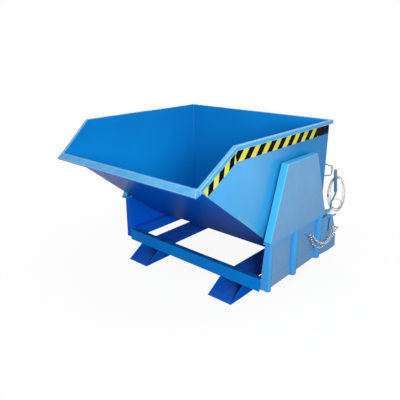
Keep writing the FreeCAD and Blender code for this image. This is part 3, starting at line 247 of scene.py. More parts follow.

# %% [markdown]
# ## The skin of paint
#
# Sprayed paint has a fine orange-peel skin and faint clouds. Sharp edges are lighter, partly from thinner
# paint and partly as a painted highlight. Dust settles on level faces, and on the beams a dark colour there
# is painted shade from the tub. A pale painted sheen on the outer sides stands in for reflected sky, and at
# the rear of the sides a deeper blue is painted shade from the towers. Deep inside the tub the blue is
# painted brighter, as painted light, and faces that look down get a deeper blue as painted shade. Each of
# these is a mask that mixes in one more colour.

# %% Sockets and textures of the paint
paint_skin, given, result = new_group(
    "paint_skin",
    [
        ("Colour", "NodeSocketColor", (0.0, 0.2, 0.6, 1.0)),
        ("Edge Colour", "NodeSocketColor", (0.2, 0.5, 0.8, 1.0)),
        ("Edge Share", "NodeSocketFloat", 0.5),
        ("Edge Width", "NodeSocketFloat", 0.0035),
        ("Level Dust And Shade Colour", "NodeSocketColor", (0.55, 0.6, 0.66, 1.0)),
        ("Level Dust And Shade", "NodeSocketFloat", 0.1),
        ("Sheen Colour", "NodeSocketColor", (0.28, 0.29, 0.23, 1.0)),
        ("Side Sheen", "NodeSocketFloat", 0.0),
        ("Rear Shade", "NodeSocketFloat", 0.0),
        ("Under Shade", "NodeSocketFloat", 0.6),
        ("Inner Light", "NodeSocketFloat", 0.0),
        ("Clear Coat", "NodeSocketFloat", 0.0),
        ("Gloss", "NodeSocketFloat", 0.35),
    ],
    [
        ("Colour", "NodeSocketColor"),
        ("Roughness", "NodeSocketFloat"),
        ("Height", "NodeSocketFloat"),
        ("Clear Coat", "NodeSocketFloat"),
    ],
)
coordinates = paint_skin.nodes.new("ShaderNodeTexCoord")
place = coordinates.outputs["Object"]
here = axes(paint_skin, place)
facing = axes(paint_skin, coordinates.outputs["Normal"])
cloud = noise(paint_skin, place, scale=2.2, detail=3.0, rough=0.55)
smear = noise(paint_skin, place, scale=17.0, detail=5.0, rough=0.6)
specks = noise(paint_skin, place, scale=95.0, detail=6.0, rough=0.7)
peel = noise(paint_skin, place, scale=420.0, detail=2.0, rough=0.5)
print("group", paint_skin.name, "starts with", len(paint_skin.nodes), "nodes")

# %% Clouds, lighter edges and dust, with painted highlight and painted shade
CLOUD_BLUE = (0.0, 0.03, 0.12, 1.0)
BEVEL_SAMPLES = 4

# Cloudy light and dark areas
clouded = mixed(paint_skin, span(paint_skin, cloud, (0.3, 0.7), (0.0, 0.16)), given["Colour"], CLOUD_BLUE)

# Lighter edges, where a rounded normal differs from the face's own: partly thinner paint, partly a painted
# highlight
rounded = paint_skin.nodes.new("ShaderNodeBevel")
rounded.samples = BEVEL_SAMPLES
paint_skin.links.new(given["Edge Width"], rounded.inputs["Radius"])
surface = paint_skin.nodes.new("ShaderNodeNewGeometry")
agree = paint_skin.nodes.new("ShaderNodeVectorMath")
agree.operation = "DOT_PRODUCT"
paint_skin.links.new(rounded.outputs["Normal"], agree.inputs[0])
paint_skin.links.new(surface.outputs["Normal"], agree.inputs[1])
edge = span(paint_skin, agree.outputs["Value"], (0.97, 0.8))
edge = times(paint_skin, edge, span(paint_skin, specks, (0.35, 0.6), (0.45, 1.0)))
edge = times(paint_skin, edge, given["Edge Share"])
edged = mixed(paint_skin, edge, clouded, given["Edge Colour"])

# Dust on faces that look up. On the beams the same share lays a dark navy there, as painted shade from the
# tub above
dust_and_shade = span(paint_skin, facing["Z"], (0.5, 0.95))
dust_and_shade = times(paint_skin, dust_and_shade, span(paint_skin, smear, (0.35, 0.75), (0.2, 1.0)))
dust_and_shade = times(paint_skin, dust_and_shade, given["Level Dust And Shade"])
with_dust_and_shade = mixed(paint_skin, dust_and_shade, edged, given["Level Dust And Shade Colour"])
print("with clouds, edges and dust", len(paint_skin.nodes), "nodes")

# %% Painted sheen, painted rear shade, painted inner light and painted undersides
SHADE_BLUE = (0.0, 0.1, 0.22, 1.0)
SHADE_SHARE = 0.34
INNER_LIGHT_BLUE = (0.004, 0.31, 0.74, 1.0)
UNDER_SHADE_BLUE = (0.0, 0.17, 0.95, 1.0)

# Painted sheen: a pale haze on faces that look outwards to the sides stands in for reflected sky. It fades
# towards the rear, as painted shade
outwards = times(paint_skin, facing["X"], maths(paint_skin, "SIGN", here["X"], 0.0))
sideways = span(paint_skin, outwards, (0.9, 0.995))
painted_sheen = times(paint_skin, sideways, span(paint_skin, cloud, (0.25, 0.75), (0.7, 1.0)))
painted_sheen = times(paint_skin, painted_sheen, given["Side Sheen"])
rearwards = span(paint_skin, here["Y"], (-0.5, -0.05))
rear_shade = times(paint_skin, rearwards, given["Rear Shade"])
kept = maths(paint_skin, "SUBTRACT", 1.0, rear_shade)
painted_side_light = mixed(paint_skin, times(paint_skin, painted_sheen, kept), with_dust_and_shade, given["Sheen Colour"])

# Painted shade: deeper blue at the rear of the sides, where the towers would shade them
shaded = times(paint_skin, sideways, times(paint_skin, rear_shade, SHADE_SHARE))
painted_side_light = mixed(paint_skin, shaded, painted_side_light, SHADE_BLUE)

# Painted light: brighter blue deep inside the tub, most of all low down, in place of light thrown between the
# walls
forwards = times(paint_skin, facing["Y"], -1.0)
inwards = maths(paint_skin, "MAXIMUM", times(paint_skin, outwards, -1.0), forwards)
inside = span(paint_skin, inwards, (0.6, 0.9))
painted_inner_light = times(paint_skin, inside, span(paint_skin, here["Z"], (0.95, 0.4)))
painted_inner_light = times(paint_skin, painted_inner_light, given["Inner Light"])
lit_inside = mixed(paint_skin, painted_inner_light, painted_side_light, INNER_LIGHT_BLUE)

# Painted shade: a deeper, more saturated blue on faces that look down
painted_under_shade = times(paint_skin, span(paint_skin, facing["Z"], (-0.3, -0.7)), given["Under Shade"])
paint_skin.links.new(mixed(paint_skin, painted_under_shade, lit_inside, UNDER_SHADE_BLUE), result["Colour"])
# Here film means the painted sheen, and wear the painted light deep inside the tub
print("with film, shade and wear", len(paint_skin.nodes), "nodes")

# %% Gloss, clear coat and relief of the paint
CLOUD_HEIGHT = 3.0

gloss = maths(paint_skin, "ADD", given["Gloss"], span(paint_skin, smear, (0.3, 0.7), (-0.05, 0.07)))
paint_skin.links.new(gloss, result["Roughness"])
paint_skin.links.new(times(paint_skin, kept, given["Clear Coat"]), result["Clear Coat"])
relief = maths(paint_skin, "ADD", peel, times(paint_skin, cloud, CLOUD_HEIGHT))
paint_skin.links.new(relief, result["Height"])
print("group", paint_skin.name, len(paint_skin.nodes), "nodes")

# %% [markdown]
# ## The grain of bare metal
#
# Zinc grows in small bright flakes, and bare steel and bronze go blotchy with handling. Cells from a Voronoi
# texture make the flakes, and a noise texture makes the stains and the uneven gloss.

# %% Grain of bare metal
FLAKE_WHITE = (0.9, 0.9, 0.9, 1.0)

metal_grain, given, result = new_group(
    "metal_grain",
    [
        ("Colour", "NodeSocketColor", (0.6, 0.6, 0.6, 1.0)),
        ("Stain Colour", "NodeSocketColor", (0.2, 0.18, 0.16, 1.0)),
        ("Stain", "NodeSocketFloat", 0.3),
        ("Gloss", "NodeSocketFloat", 0.35),
        ("Scale", "NodeSocketFloat", 120.0),
    ],
    [("Colour", "NodeSocketColor"), ("Roughness", "NodeSocketFloat"), ("Height", "NodeSocketFloat")],
)
place = metal_grain.nodes.new("ShaderNodeTexCoord").outputs["Object"]
flakes = metal_grain.nodes.new("ShaderNodeTexVoronoi")
metal_grain.links.new(place, flakes.inputs["Vector"])
metal_grain.links.new(given["Scale"], flakes.inputs["Scale"])
blotch = noise(metal_grain, place, scale=45.0, detail=6.0, rough=0.65)
stain = times(metal_grain, span(metal_grain, blotch, (0.42, 0.68)), given["Stain"])
stained = mixed(metal_grain, stain, given["Colour"], given["Stain Colour"])
light = span(metal_grain, flakes.outputs["Distance"], (0.0, 0.7), (0.0, 0.25))
metal_grain.links.new(mixed(metal_grain, light, stained, FLAKE_WHITE), result["Colour"])
gloss = maths(metal_grain, "ADD", given["Gloss"], span(metal_grain, blotch, (0.3, 0.7), (-0.06, 0.12)))
metal_grain.links.new(gloss, result["Roughness"])
metal_grain.links.new(blotch, result["Height"])
print("group", metal_grain.name, len(metal_grain.nodes), "nodes")

# %% [markdown]
# ## The finishes
#
# A finish is a Principled shader with one of the groups in front of it. Values that are the same all over,
# such as the specular level, are set on the shader itself. The whole skip is sprayed in one blue. The tub's
# walls, its right side, its slope and the rims have their own values, and so have the side panels, the
# towers, the frame, the bars in the shade, the beams, the fork pockets, the lever and the welds. Much of
# this is painted light and shade: darker copies of the blue for parts that lie in shade, and a painted sheen
# on the outer sides.

# %% Finish maker
COAT_ROUGHNESS = 0.18
RELIEF_DISTANCE = 0.0004


def finish_with(name, group, values, bump, specular=0.5, metallic=0.0, coat=0.0):
    """Material with a Principled shader fed by a group of surface effects."""
    material = bpy.data.materials.new(name)
    material.use_nodes = True
    tree = material.node_tree
    shader = tree.nodes["Principled BSDF"]
    shader.inputs["Metallic"].default_value = metallic
    shader.inputs["Coat Weight"].default_value = coat
    shader.inputs["Coat Roughness"].default_value = COAT_ROUGHNESS
    shader.inputs["Specular IOR Level"].default_value = specular
    effect = tree.nodes.new("ShaderNodeGroup")
    effect.node_tree = group
    for title, value in values.items():
        effect.inputs[title].default_value = value
    relief = tree.nodes.new("ShaderNodeBump")
    relief.inputs["Strength"].default_value = bump
    relief.inputs["Distance"].default_value = RELIEF_DISTANCE
    tree.links.new(effect.outputs["Colour"], shader.inputs["Base Color"])
    tree.links.new(effect.outputs["Roughness"], shader.inputs["Roughness"])
    tree.links.new(effect.outputs["Height"], relief.inputs["Height"])
    tree.links.new(relief.outputs["Normal"], shader.inputs["Normal"])
    return material


print("effects to choose from", paint_skin.name, metal_grain.name)

# %% Paint of the tub
CLEAR_COAT_IOR = 1.6
THIN_PAINT_HIGHLIGHT_BLUE = tone(120, 195, 240)
TUB_COAT = {"Colour": tone(12, 122, 194), "Edge Colour": THIN_PAINT_HIGHLIGHT_BLUE, "Edge Share": 0.7, "Level Dust And Shade": 0.06}
WALL_COAT = {**TUB_COAT, "Rear Shade": 0.9, "Inner Light": 0.9}

tub_paint = finish_with(
    "tub_paint", paint_skin,
    {**WALL_COAT, "Sheen Colour": (0.3, 0.62, 0.5, 1.0), "Side Sheen": 0.28, "Gloss": 0.08},
    bump=0.03, specular=0.45,
)
side_paint = finish_with(
    "side_paint", paint_skin,
    {
        **WALL_COAT, "Sheen Colour": (0.14, 0.62, 0.64, 1.0), "Side Sheen": 0.22,
        "Clear Coat": 1.0, "Gloss": 0.2,
    },
    bump=0.03, specular=0.06,
)
slope_paint = finish_with(
    "slope_paint", paint_skin,
    {**TUB_COAT, "Under Shade": 0.9, "Gloss": 0.2},
    bump=0.06, specular=0.02,
)
# The rims' near-white edge colour is mostly a painted highlight along their edges
rim_paint = finish_with(
    "rim_paint", paint_skin,
    {
        "Colour": tone(40, 146, 200), "Edge Colour": tone(236, 232, 228), "Edge Share": 0.8,
        "Edge Width": 0.007, "Level Dust And Shade": 0.3, "Side Sheen": 0.06, "Gloss": 0.4,
    },
    bump=0.12, specular=0.2,
)

# The right side sheet has a clear coat, which mirrors the tower beside it and fades towards the rear
tree = side_paint.node_tree
shader = tree.nodes["Principled BSDF"]
shader.inputs["Coat IOR"].default_value = CLEAR_COAT_IOR
tree.links.new(tree.nodes["Group"].outputs["Clear Coat"], shader.inputs["Coat Weight"])
print("finishes of the tub", len(bpy.data.materials))

# %% Paint of the base and of the lever
# The side panels and the towers carry a strong painted sheen on their outer faces
panel_paint = finish_with(
    "panel_paint", paint_skin,
    {
        "Colour": tone(10, 136, 208), "Edge Colour": tone(110, 180, 228), "Edge Share": 0.6, "Level Dust And Shade": 0.1,
        "Side Sheen": 0.46, "Gloss": 0.4,
    },
    bump=0.15, specular=0.2,
)
tower_paint = finish_with(
    "tower_paint", paint_skin,
    {
        "Colour": tone(60, 165, 220), "Edge Colour": tone(120, 196, 236), "Edge Share": 0.6, "Level Dust And Shade": 0.1,
        "Sheen Colour": (0.19, 0.175, 0.23, 1.0), "Side Sheen": 0.6, "Gloss": 0.4,
    },
    bump=0.15, specular=0.2,
)
frame_paint = finish_with(
    "frame_paint", paint_skin,
    {
        "Colour": tone(56, 143, 205), "Edge Colour": tone(120, 186, 230), "Edge Share": 0.6, "Level Dust And Shade": 0.1,
        "Side Sheen": 0.1, "Gloss": 0.4,
    },
    bump=0.15, specular=0.2,
)
# Painted shade: the fork pockets get a darker blue, for the shade under the tub
pocket_paint = finish_with(
    "pocket_paint", paint_skin,
    {
        "Colour": tone(0, 78, 170), "Edge Colour": tone(50, 130, 200), "Edge Share": 0.5, "Level Dust And Shade": 0.04,
        "Gloss": 0.5,
    },
    bump=0.15, specular=0.0,
)
# Painted shade: a deeper blue for the bars that lie in the tub's shade, with a greener painted sheen that
# evens them out with the lit side
shade_paint = finish_with(
    "shade_paint", paint_skin,
    {
        "Colour": tone(0, 88, 200), "Edge Colour": tone(60, 140, 215), "Edge Share": 0.5, "Level Dust And Shade": 0.04,
        "Sheen Colour": (0.28, 0.46, 0.29, 1.0), "Side Sheen": 0.46, "Gloss": 0.45,
    },
    bump=0.15, specular=0.08,
)
# Painted shade: the beams' level faces get a dark navy through the dust share, for the tub's shade over them
beam_paint = finish_with(
    "beam_paint", paint_skin,
    {
        "Colour": tone(4, 114, 194), "Edge Colour": tone(70, 150, 210), "Edge Share": 0.6,
        "Level Dust And Shade Colour": tone(0, 20, 70), "Level Dust And Shade": 1.0, "Gloss": 0.45,
    },
    bump=0.15, specular=0.1,
)
lever_paint = finish_with(
    "lever_paint", paint_skin,
    {
        "Colour": tone(70, 118, 150), "Edge Colour": tone(130, 160, 180), "Edge Share": 0.8, "Level Dust And Shade": 0.1,
        "Gloss": 0.4,
    },
    bump=0.15, coat=0.2,
)
weld_paint = finish_with(
    "weld_paint", paint_skin,
    {"Colour": tone(20, 120, 205), "Edge Colour": THIN_PAINT_HIGHLIGHT_BLUE, "Edge Share": 0.3, "Level Dust And Shade": 0.1, "Gloss": 0.36},
    bump=0.3, coat=0.25,
)
print("paint finishes", len(bpy.data.materials))


# %% Bare and plated metal
def bare_metal(name, colour, stain_colour, stain, gloss, scale, metallic=1.0, bump=0.1):
    """Finish of metal without paint."""
    values = {"Colour": colour, "Stain Colour": stain_colour, "Stain": stain, "Gloss": gloss, "Scale": scale}
    return finish_with(name, metal_grain, values, bump=bump, metallic=metallic)


pin_steel = bare_metal(
    "pin_steel", tone(170, 172, 176), tone(86, 78, 70), stain=0.35, gloss=0.32, scale=300.0,
)
bush_bronze = bare_metal(
    "bush_bronze", tone(186, 138, 74), tone(96, 66, 34), stain=0.4, gloss=0.3, scale=260.0,
)
chain_zinc = bare_metal(
    "chain_zinc", tone(236, 236, 234), tone(84, 72, 60), stain=0.6, gloss=0.2, scale=420.0,
    metallic=0.9, bump=0.15,
)
rope_zinc = bare_metal(
    "rope_zinc", tone(206, 198, 196), tone(124, 108, 100), stain=0.5, gloss=0.4, scale=700.0,
    metallic=0.35,
)
ferrule_dark = bare_metal(
    "ferrule_dark", tone(62, 60, 62), tone(30, 28, 28), stain=0.5, gloss=0.4, scale=500.0,
    metallic=0.7,
)
print("finishes", len(bpy.data.materials))

# %% [markdown]
# ## The warning tape
#
# The tape is printed with slanting yellow and black bars, and it follows the rim round its bend. The bars
# could be cut as many small faces, but ink has no thickness. So they are worked out in the shader from the
# object coordinates. Two rulers are laid on the tape, one along the level rim and one along the slanting rim.
# Each point uses the ruler whose rim is nearer.

# %% Rulers on the tape
# Place of the rim's bend, direction of the slanting rim, and lean of the bars
RIM_BEND_Y, RIM_BEND_Z = -0.678, 1.020
SLANT_Y, SLANT_Z = -0.7880, -0.6156
LEAN = 0.82

warning_tape = bpy.data.materials.new("warning_tape")
warning_tape.use_nodes = True
tree = warning_tape.node_tree
place = tree.nodes.new("ShaderNodeTexCoord").outputs["Object"]
here = axes(tree, place)
from_bend = maths(tree, "SUBTRACT", here["Y"], RIM_BEND_Y)
level_depth = maths(tree, "SUBTRACT", RIM_BEND_Z, here["Z"])
slant_depth = maths(
    tree, "ADD",
    times(tree, from_bend, -SLANT_Z),
    times(tree, level_depth, -SLANT_Y),
)
slant_along = maths(
    tree, "SUBTRACT",
    times(tree, from_bend, SLANT_Y),
    times(tree, level_depth, SLANT_Z),
)
level_ruler = maths(tree, "ADD", from_bend, times(tree, level_depth, LEAN))
slant_ruler = maths(tree, "SUBTRACT", times(tree, slant_depth, LEAN), slant_along)
print("rulers meet at the bend of the rim", RIM_BEND_Y, RIM_BEND_Z)

# %% Bars and ink of the tape
LEVEL_START, LEVEL_BAR, LEVEL_YELLOW = 0.1085, 0.1023, 0.48
SLANT_START, SLANT_BAR, SLANT_YELLOW = -0.063, 0.084, 0.49
END_PATCH_Y = 0.187
TAPE_SPECULAR = 0.03


def yellow_bars(ruler, start, period, width):
    """1 where a ruler lies in a yellow bar."""
    turn = maths(tree, "DIVIDE", maths(tree, "SUBTRACT", ruler, start), period)
    part = maths(tree, "FRACT", turn, 0.0)
    return maths(tree, "LESS_THAN", part, width)


level_bars = yellow_bars(level_ruler, LEVEL_START, LEVEL_BAR, LEVEL_YELLOW)
slant_bars = yellow_bars(slant_ruler, SLANT_START, SLANT_BAR, SLANT_YELLOW)
on_slant = maths(tree, "LESS_THAN", slant_depth, level_depth)
on_level = maths(tree, "SUBTRACT", 1.0, on_slant)
bars = maths(tree, "ADD", times(tree, on_slant, slant_bars), times(tree, on_level, level_bars))
bars = times(tree, bars, maths(tree, "LESS_THAN", here["Y"], END_PATCH_Y))

# Print wear: small pale scuffs, and a slightly uneven ink
scuff = span(tree, noise(tree, place, scale=60.0, detail=8.0, rough=0.7), (0.6, 0.75), (0.0, 0.35))
ink = span(tree, noise(tree, place, scale=9.0, detail=3.0, rough=0.5), (0.3, 0.7))
yellow = mixed(tree, ink, tone(184, 180, 62), tone(196, 192, 80))
black = mixed(tree, ink, tone(2, 1, 1), tone(6, 4, 4))
print_colour = mixed(tree, bars, black, yellow)
uneven = noise(tree, place, scale=25.0, detail=4.0, rough=0.6)
shader = tree.nodes["Principled BSDF"]
tree.links.new(mixed(tree, scuff, print_colour, tone(150, 140, 110)), shader.inputs["Base Color"])
tree.links.new(span(tree, uneven, (0.3, 0.7), (0.45, 0.6)), shader.inputs["Roughness"])
shader.inputs["Specular IOR Level"].default_value = TAPE_SPECULAR
for side in ("left", "right"):
    cover(nodes["hazard_tape_" + side], warning_tape)
print("tape bars every", LEVEL_BAR, "m")

# %% [markdown]
# ## Sheet and bar with softened edges
#
# Cut and folded steel never has a knife edge. The sheets could be modelled anew, but a copy of each solid
# keeps its place and size. The copy's loose triangles are merged and its flat areas joined. Then a small
# bevel rounds the edges, so that they catch the light, and the copy stands for the solid.

# %% Merged copies and rounded edges
MERGE_DISTANCE = 0.00002
FLAT_ANGLE = math.radians(0.5)
EDGE_RADIUS = 0.0011
SHARP_ANGLE = math.radians(40)
SHORTEST_EDGE = 0.00001


def merged_copy(node):
    """Copy of a CAD node with its loose triangles merged and its flat areas joined."""
    select_only(nodes[node])
    bpy.ops.object.duplicate()
    piece = bpy.context.active_object
    piece.parent = None
    del piece["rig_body"]
    del piece["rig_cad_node"]
    bpy.ops.mesh.customdata_custom_splitnormals_clear()
    open_mesh()
    bpy.ops.mesh.remove_doubles(threshold=MERGE_DISTANCE)
    bpy.ops.mesh.dissolve_limited(angle_limit=FLAT_ANGLE)
    close_mesh()
    return piece


def round_edges(piece):
    """Small bevel on the sharp edges of the active piece."""
    bpy.ops.object.shade_smooth()
    bpy.ops.object.modifier_add(type="BEVEL")
    bevel = piece.modifiers[-1]
    bevel.width = EDGE_RADIUS
    bevel.segments = 2
    bevel.limit_method = "ANGLE"
    bevel.angle_limit = SHARP_ANGLE
    bevel.harden_normals = True
    bpy.ops.object.modifier_apply(modifier=bevel.name)
    open_mesh()
    bpy.ops.mesh.dissolve_degenerate(threshold=SHORTEST_EDGE)
    close_mesh()


def softened(node, finish):
    """Merged copy of a CAD node with rounded edges, which stands for the node."""
    piece = merged_copy(node)
    round_edges(piece)
    hand_over(piece, node + "_softened", body_of_node[node], finish)
    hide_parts(node)


print("edge radius", EDGE_RADIUS)

# %% Softened pieces
TUB_SHEETS = [
    "side_sheet_left", "rear_sheet", "edge_strips", "pivot_plate_left", "pivot_plate_right", "latch_stud",
]
TUB_RIMS = ["side_rim_left", "side_rim_right", "rear_rim", "pour_lip"]
SIDE_PANELS = ["side_wall_right", "skirts", "rear_cheeks", "rear_post_left", "rear_post_right"]
TOWERS = ["tower_left", "tower_right"]
FRAME_BARS = [
    "front_post_right", "front_rib_left", "front_rib_right", "rear_rib_left", "rear_rib_right", "rest_blocks",
    "cap_left", "cap_right", "bearing_pillar_left", "bearing_pillar_right", "latch_bracket", "latch_guard",
]
FRAME_BEAMS = ["front_beam", "rear_beam"]
FORK_POCKETS = ["fork_pocket_left", "fork_pocket_right"]
SHADED_BARS = ["side_rail_left", "side_rail_right", "side_wall_left", "front_post_left"]

painted_sets = (
    (TUB_SHEETS, tub_paint), (["side_sheet_right"], side_paint), (["floor_sheet"], slope_paint),
    (TUB_RIMS, rim_paint), (SIDE_PANELS, panel_paint), (TOWERS, tower_paint),
    (FRAME_BARS, frame_paint), (FRAME_BEAMS, beam_paint), (FORK_POCKETS, pocket_paint),
    (SHADED_BARS, shade_paint), (["latch_hook"], lever_paint),
)
for members, finish in painted_sets:
    for node in members:
        softened(node, finish)
print("softened pieces", sum(len(members) for members, finish in painted_sets))

# %% [markdown]
# ## Closed corners of the pour lip
#
# Where the lip meets the slanting rims, a small piece is welded into the notch between them. It could be cut
# and folded like the rim. Here the end points of the lip and of the right rim are wrapped by the Convex Hull
# operator, because that fills the notch exactly. The Mirror modifier adds the left corner.

# %% Lip corners
LIP_END_X = 0.548
RIM_END_Y = -0.893


def points_of(node, wanted):
    """Corner points of a solid that pass a test."""
    piece = nodes[node]
    spots = [piece.matrix_world @ vertex.co for vertex in piece.data.vertices]
    return [spot for spot in spots if wanted(spot)]


corner_points = points_of("pour_lip", lambda spot: spot.x > LIP_END_X)
corner_points += points_of("side_rim_right", lambda spot: spot.y < RIM_END_Y)
corner_mesh = bpy.data.meshes.new("lip_corners")
corner_mesh.from_pydata(corner_points, [], [])
lip_corners = new_object("lip_corners", corner_mesh)
open_mesh()
bpy.ops.mesh.remove_doubles(threshold=MERGE_DISTANCE)
bpy.ops.mesh.convex_hull()
bpy.ops.mesh.dissolve_limited(angle_limit=FLAT_ANGLE)
close_mesh()
bpy.ops.object.modifier_add(type="MIRROR")
bpy.ops.object.modifier_apply(modifier=lip_corners.modifiers[-1].name)
open_mesh()
bpy.ops.mesh.normals_make_consistent(inside=False)
close_mesh()
round_edges(lip_corners)
hand_over(lip_corners, "lip_corners", "tub", frame_paint)
print("lip corner faces", len(lip_corners.data.polygons))

# %% [markdown]
# ## Round bars
#
# The bail, the hand lever and the pegs are round bar in real life. In the solids they have many small flat
# sides. They could be swept anew with more sides. A merged copy with smooth shading over small angles is
# enough to show them round, with their ends still sharp. The blocks and bushes of the bearings keep their
# solids and only get a finish.

# %% Round bars
ROUND_ANGLE = math.radians(42)


def smoothed(node, finish):
    """Merged copy of a flat-sided round bar, shaded as round, which stands for the node."""
    piece = merged_copy(node)
    bpy.ops.object.shade_smooth_by_angle(angle=ROUND_ANGLE)
    hand_over(piece, node + "_round", body_of_node[node], finish)
    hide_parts(node)


round_sets = (
    (["rope_bail", "lever_rod", "lever_grip", "rope_peg"], lever_paint, "blue_paint"),
    (["chain_hook"], frame_paint, "blue_paint"),
    (["chain_anchor"], pin_steel, "zinc_chain"),
    (["latch_pin", "pivot_pin_left", "pivot_pin_right"], pin_steel, "bare_steel"),
)
for members, finish, slot in round_sets:
    for node in members:
        smoothed(node, finish)
for side in ("left", "right"):
    cover(nodes["bearing_block_" + side], frame_paint)
    cover(nodes["pivot_bush_" + side], bush_bronze)
print("round bars", sum(len(members) for members, finish, slot in round_sets))

# %% [markdown]
# ## Weld beads
#
# The sheets are joined by fillet welds. A bead is a small bar that lies in the corner of two sheets, and the
# welder's steps leave ripples on it. It could be modelled ripple by ripple. Here each seam is a line of
# points whose thickness goes up and down, with a round bevel. Most of the bar is buried in the sheets.

# %% Bead along a seam
BEAD_RADIUS = 0.003
RIPPLE = 0.005
RIPPLE_DEPTH = 0.22
BEAD_ANGLE = math.radians(60)


def weld_beads(name, seams, body):
    """One piece with a rippled bead along each seam, given as pairs of end points."""
    line_data = bpy.data.curves.new(name, "CURVE")
    line_data.dimensions = "3D"
    line_data.bevel_depth = BEAD_RADIUS
    line_data.bevel_resolution = 2
    line_data.use_fill_caps = True
    for start, end in seams:
        start, end = Vector(start), Vector(end)
        steps = 2 * round((end - start).length / RIPPLE)
        bead = line_data.splines.new("POLY")
        bead.points.add(steps)
        for number, point in enumerate(bead.points):
            point.co = (*start.lerp(end, number / steps), 1.0)
            point.radius = 1.0 - RIPPLE_DEPTH * (number % 2)
    new_object(name, line_data)
    bpy.ops.object.convert(target="MESH")
    piece = bpy.context.active_object
    bpy.ops.object.shade_smooth_by_angle(angle=BEAD_ANGLE)
    hand_over(piece, name, body, weld_paint)


def both_sides(seams):
    """The seams of the right side and their mirror images."""
    return seams + [tuple((-x, y, z) for x, y, z in seam) for seam in seams]


print("ripples every", RIPPLE, "m")

# %% Seams of the tub and of the base
TUB_SIDE, TUB_REAR, TUB_FLOOR, TUB_FOLD = 0.583, 0.334, 0.256, -0.142
LIP_SIDE, LIP_FRONT, LIP_TOP = 0.545, -0.899, 0.848
SEAM_LIFT, SEAM_TOP = 0.001, 1.015
TOWER_SIDE, TOWER_FRONT, TOWER_REAR, TOWER_FOOT = 0.645, -0.383, 0.277, 0.412
POST_SIDE, POST_FRONT, BEAM_LOW, BEAM_HIGH = 0.580, -0.371, 0.094, 0.162
WALL_SIDE, RIB_LOW, RIB_HIGH = 0.612, 0.165, 0.403
RIB_EDGES = (-0.095, -0.047, 0.221)

# The upright seams start a little higher than the others, so that no two beads share an edge
tub_seams = both_sides([
    ((TUB_SIDE, TUB_REAR, TUB_FLOOR + SEAM_LIFT), (TUB_SIDE, TUB_REAR, SEAM_TOP)),
    ((TUB_SIDE, TUB_FOLD, TUB_FLOOR), (TUB_SIDE, TUB_REAR, TUB_FLOOR)),
    ((TUB_SIDE, TUB_FOLD, TUB_FLOOR), (LIP_SIDE, LIP_FRONT, LIP_TOP)),
])
tub_seams.append(((-TUB_SIDE, TUB_REAR, TUB_FLOOR), (TUB_SIDE, TUB_REAR, TUB_FLOOR)))
weld_beads("tub_welds", tub_seams, "tub")

base_seams = both_sides(
    [
        ((TOWER_SIDE, TOWER_FRONT, TOWER_FOOT), (TOWER_SIDE, TOWER_REAR, TOWER_FOOT)),
        ((POST_SIDE, POST_FRONT, BEAM_LOW), (POST_SIDE, POST_FRONT, BEAM_HIGH)),
    ]
    + [((WALL_SIDE, y, RIB_LOW), (WALL_SIDE, y, RIB_HIGH)) for y in RIB_EDGES]
)
weld_beads("base_welds", base_seams, "base")
print("weld seams", len(tub_seams) + len(base_seams))

# %% [markdown]
# ## The chain
#
# The chain hangs in two strands from a hook on the side to a pin on the rear post. Each link could be swept
# on its own. Here one link is modelled and copied: a torus whose two halves are moved apart, until the ring
# has its length. The copies are set along the curve that a hanging chain takes, every other one on its edge.

# %% One chain link
LINK_WIRE = 0.005
LINK_INSIDE_LENGTH = 0.0243
LINK_INSIDE_WIDTH = 0.0085

bpy.ops.object.select_all(action="DESELECT")
bpy.ops.mesh.primitive_torus_add(
    major_radius=(LINK_INSIDE_WIDTH + LINK_WIRE) / 2, minor_radius=LINK_WIRE / 2,
    major_segments=26, minor_segments=10,
)
link = bpy.context.active_object
half_straight = (LINK_INSIDE_LENGTH - LINK_INSIDE_WIDTH) / 2
for vertex in link.data.vertices:
    vertex.co.x += half_straight if vertex.co.x > 0 else -half_straight
bpy.ops.object.shade_smooth()
print("link length", round(link.dimensions.x, 4))

# %% Curve of a hanging chain
HOOK_PEG = (0.075, 0.318)
ANCHOR_PEG = (0.426, 0.270)

# Limits of the search for the chain's tension
SLACKEST, TAUTEST = 0.001, 100.0
LARGEST_EXPONENT = 300.0
NEAR_ENOUGH = 1e-9


def hanging_curve(start, end, length):
    """Curve of a chain of a given length between two (y, z) points, as a function of arc length."""
    run = end[0] - start[0]
    rise = end[1] - start[1]
    target = math.sqrt(length ** 2 - rise ** 2)
    low, high = SLACKEST, TAUTEST
    while high - low > NEAR_ENOUGH:
        tension = (low + high) / 2
        if 2 * tension * math.sinh(min(run / (2 * tension), LARGEST_EXPONENT)) > target:
            low = tension
        else:
            high = tension
    spread = 2 * tension * math.sinh(run / (2 * tension))
    lowest = (start[0] + end[0]) / 2 - tension * math.asinh(rise / spread)
    base = start[1] - tension * math.cosh((start[0] - lowest) / tension)
    first = math.sinh((start[0] - lowest) / tension)

    def at(arc):
        slope = first + arc / tension
        y = lowest + tension * math.asinh(slope)
        z = base + tension * math.sqrt(1 + slope ** 2)
        return Vector((0.0, y, z)), math.atan(slope)
    return at


print("distance between the pegs", round(math.dist(HOOK_PEG, ANCHOR_PEG), 3))

# %% The two strands
LINK_GAP = 0.0005
PEG_RADIUS = 0.004
PEG_PLAY = 0.0003
CHAIN_STRANDS = (("chain_lower", 0.653, 19), ("chain_upper", 0.6742, 17))


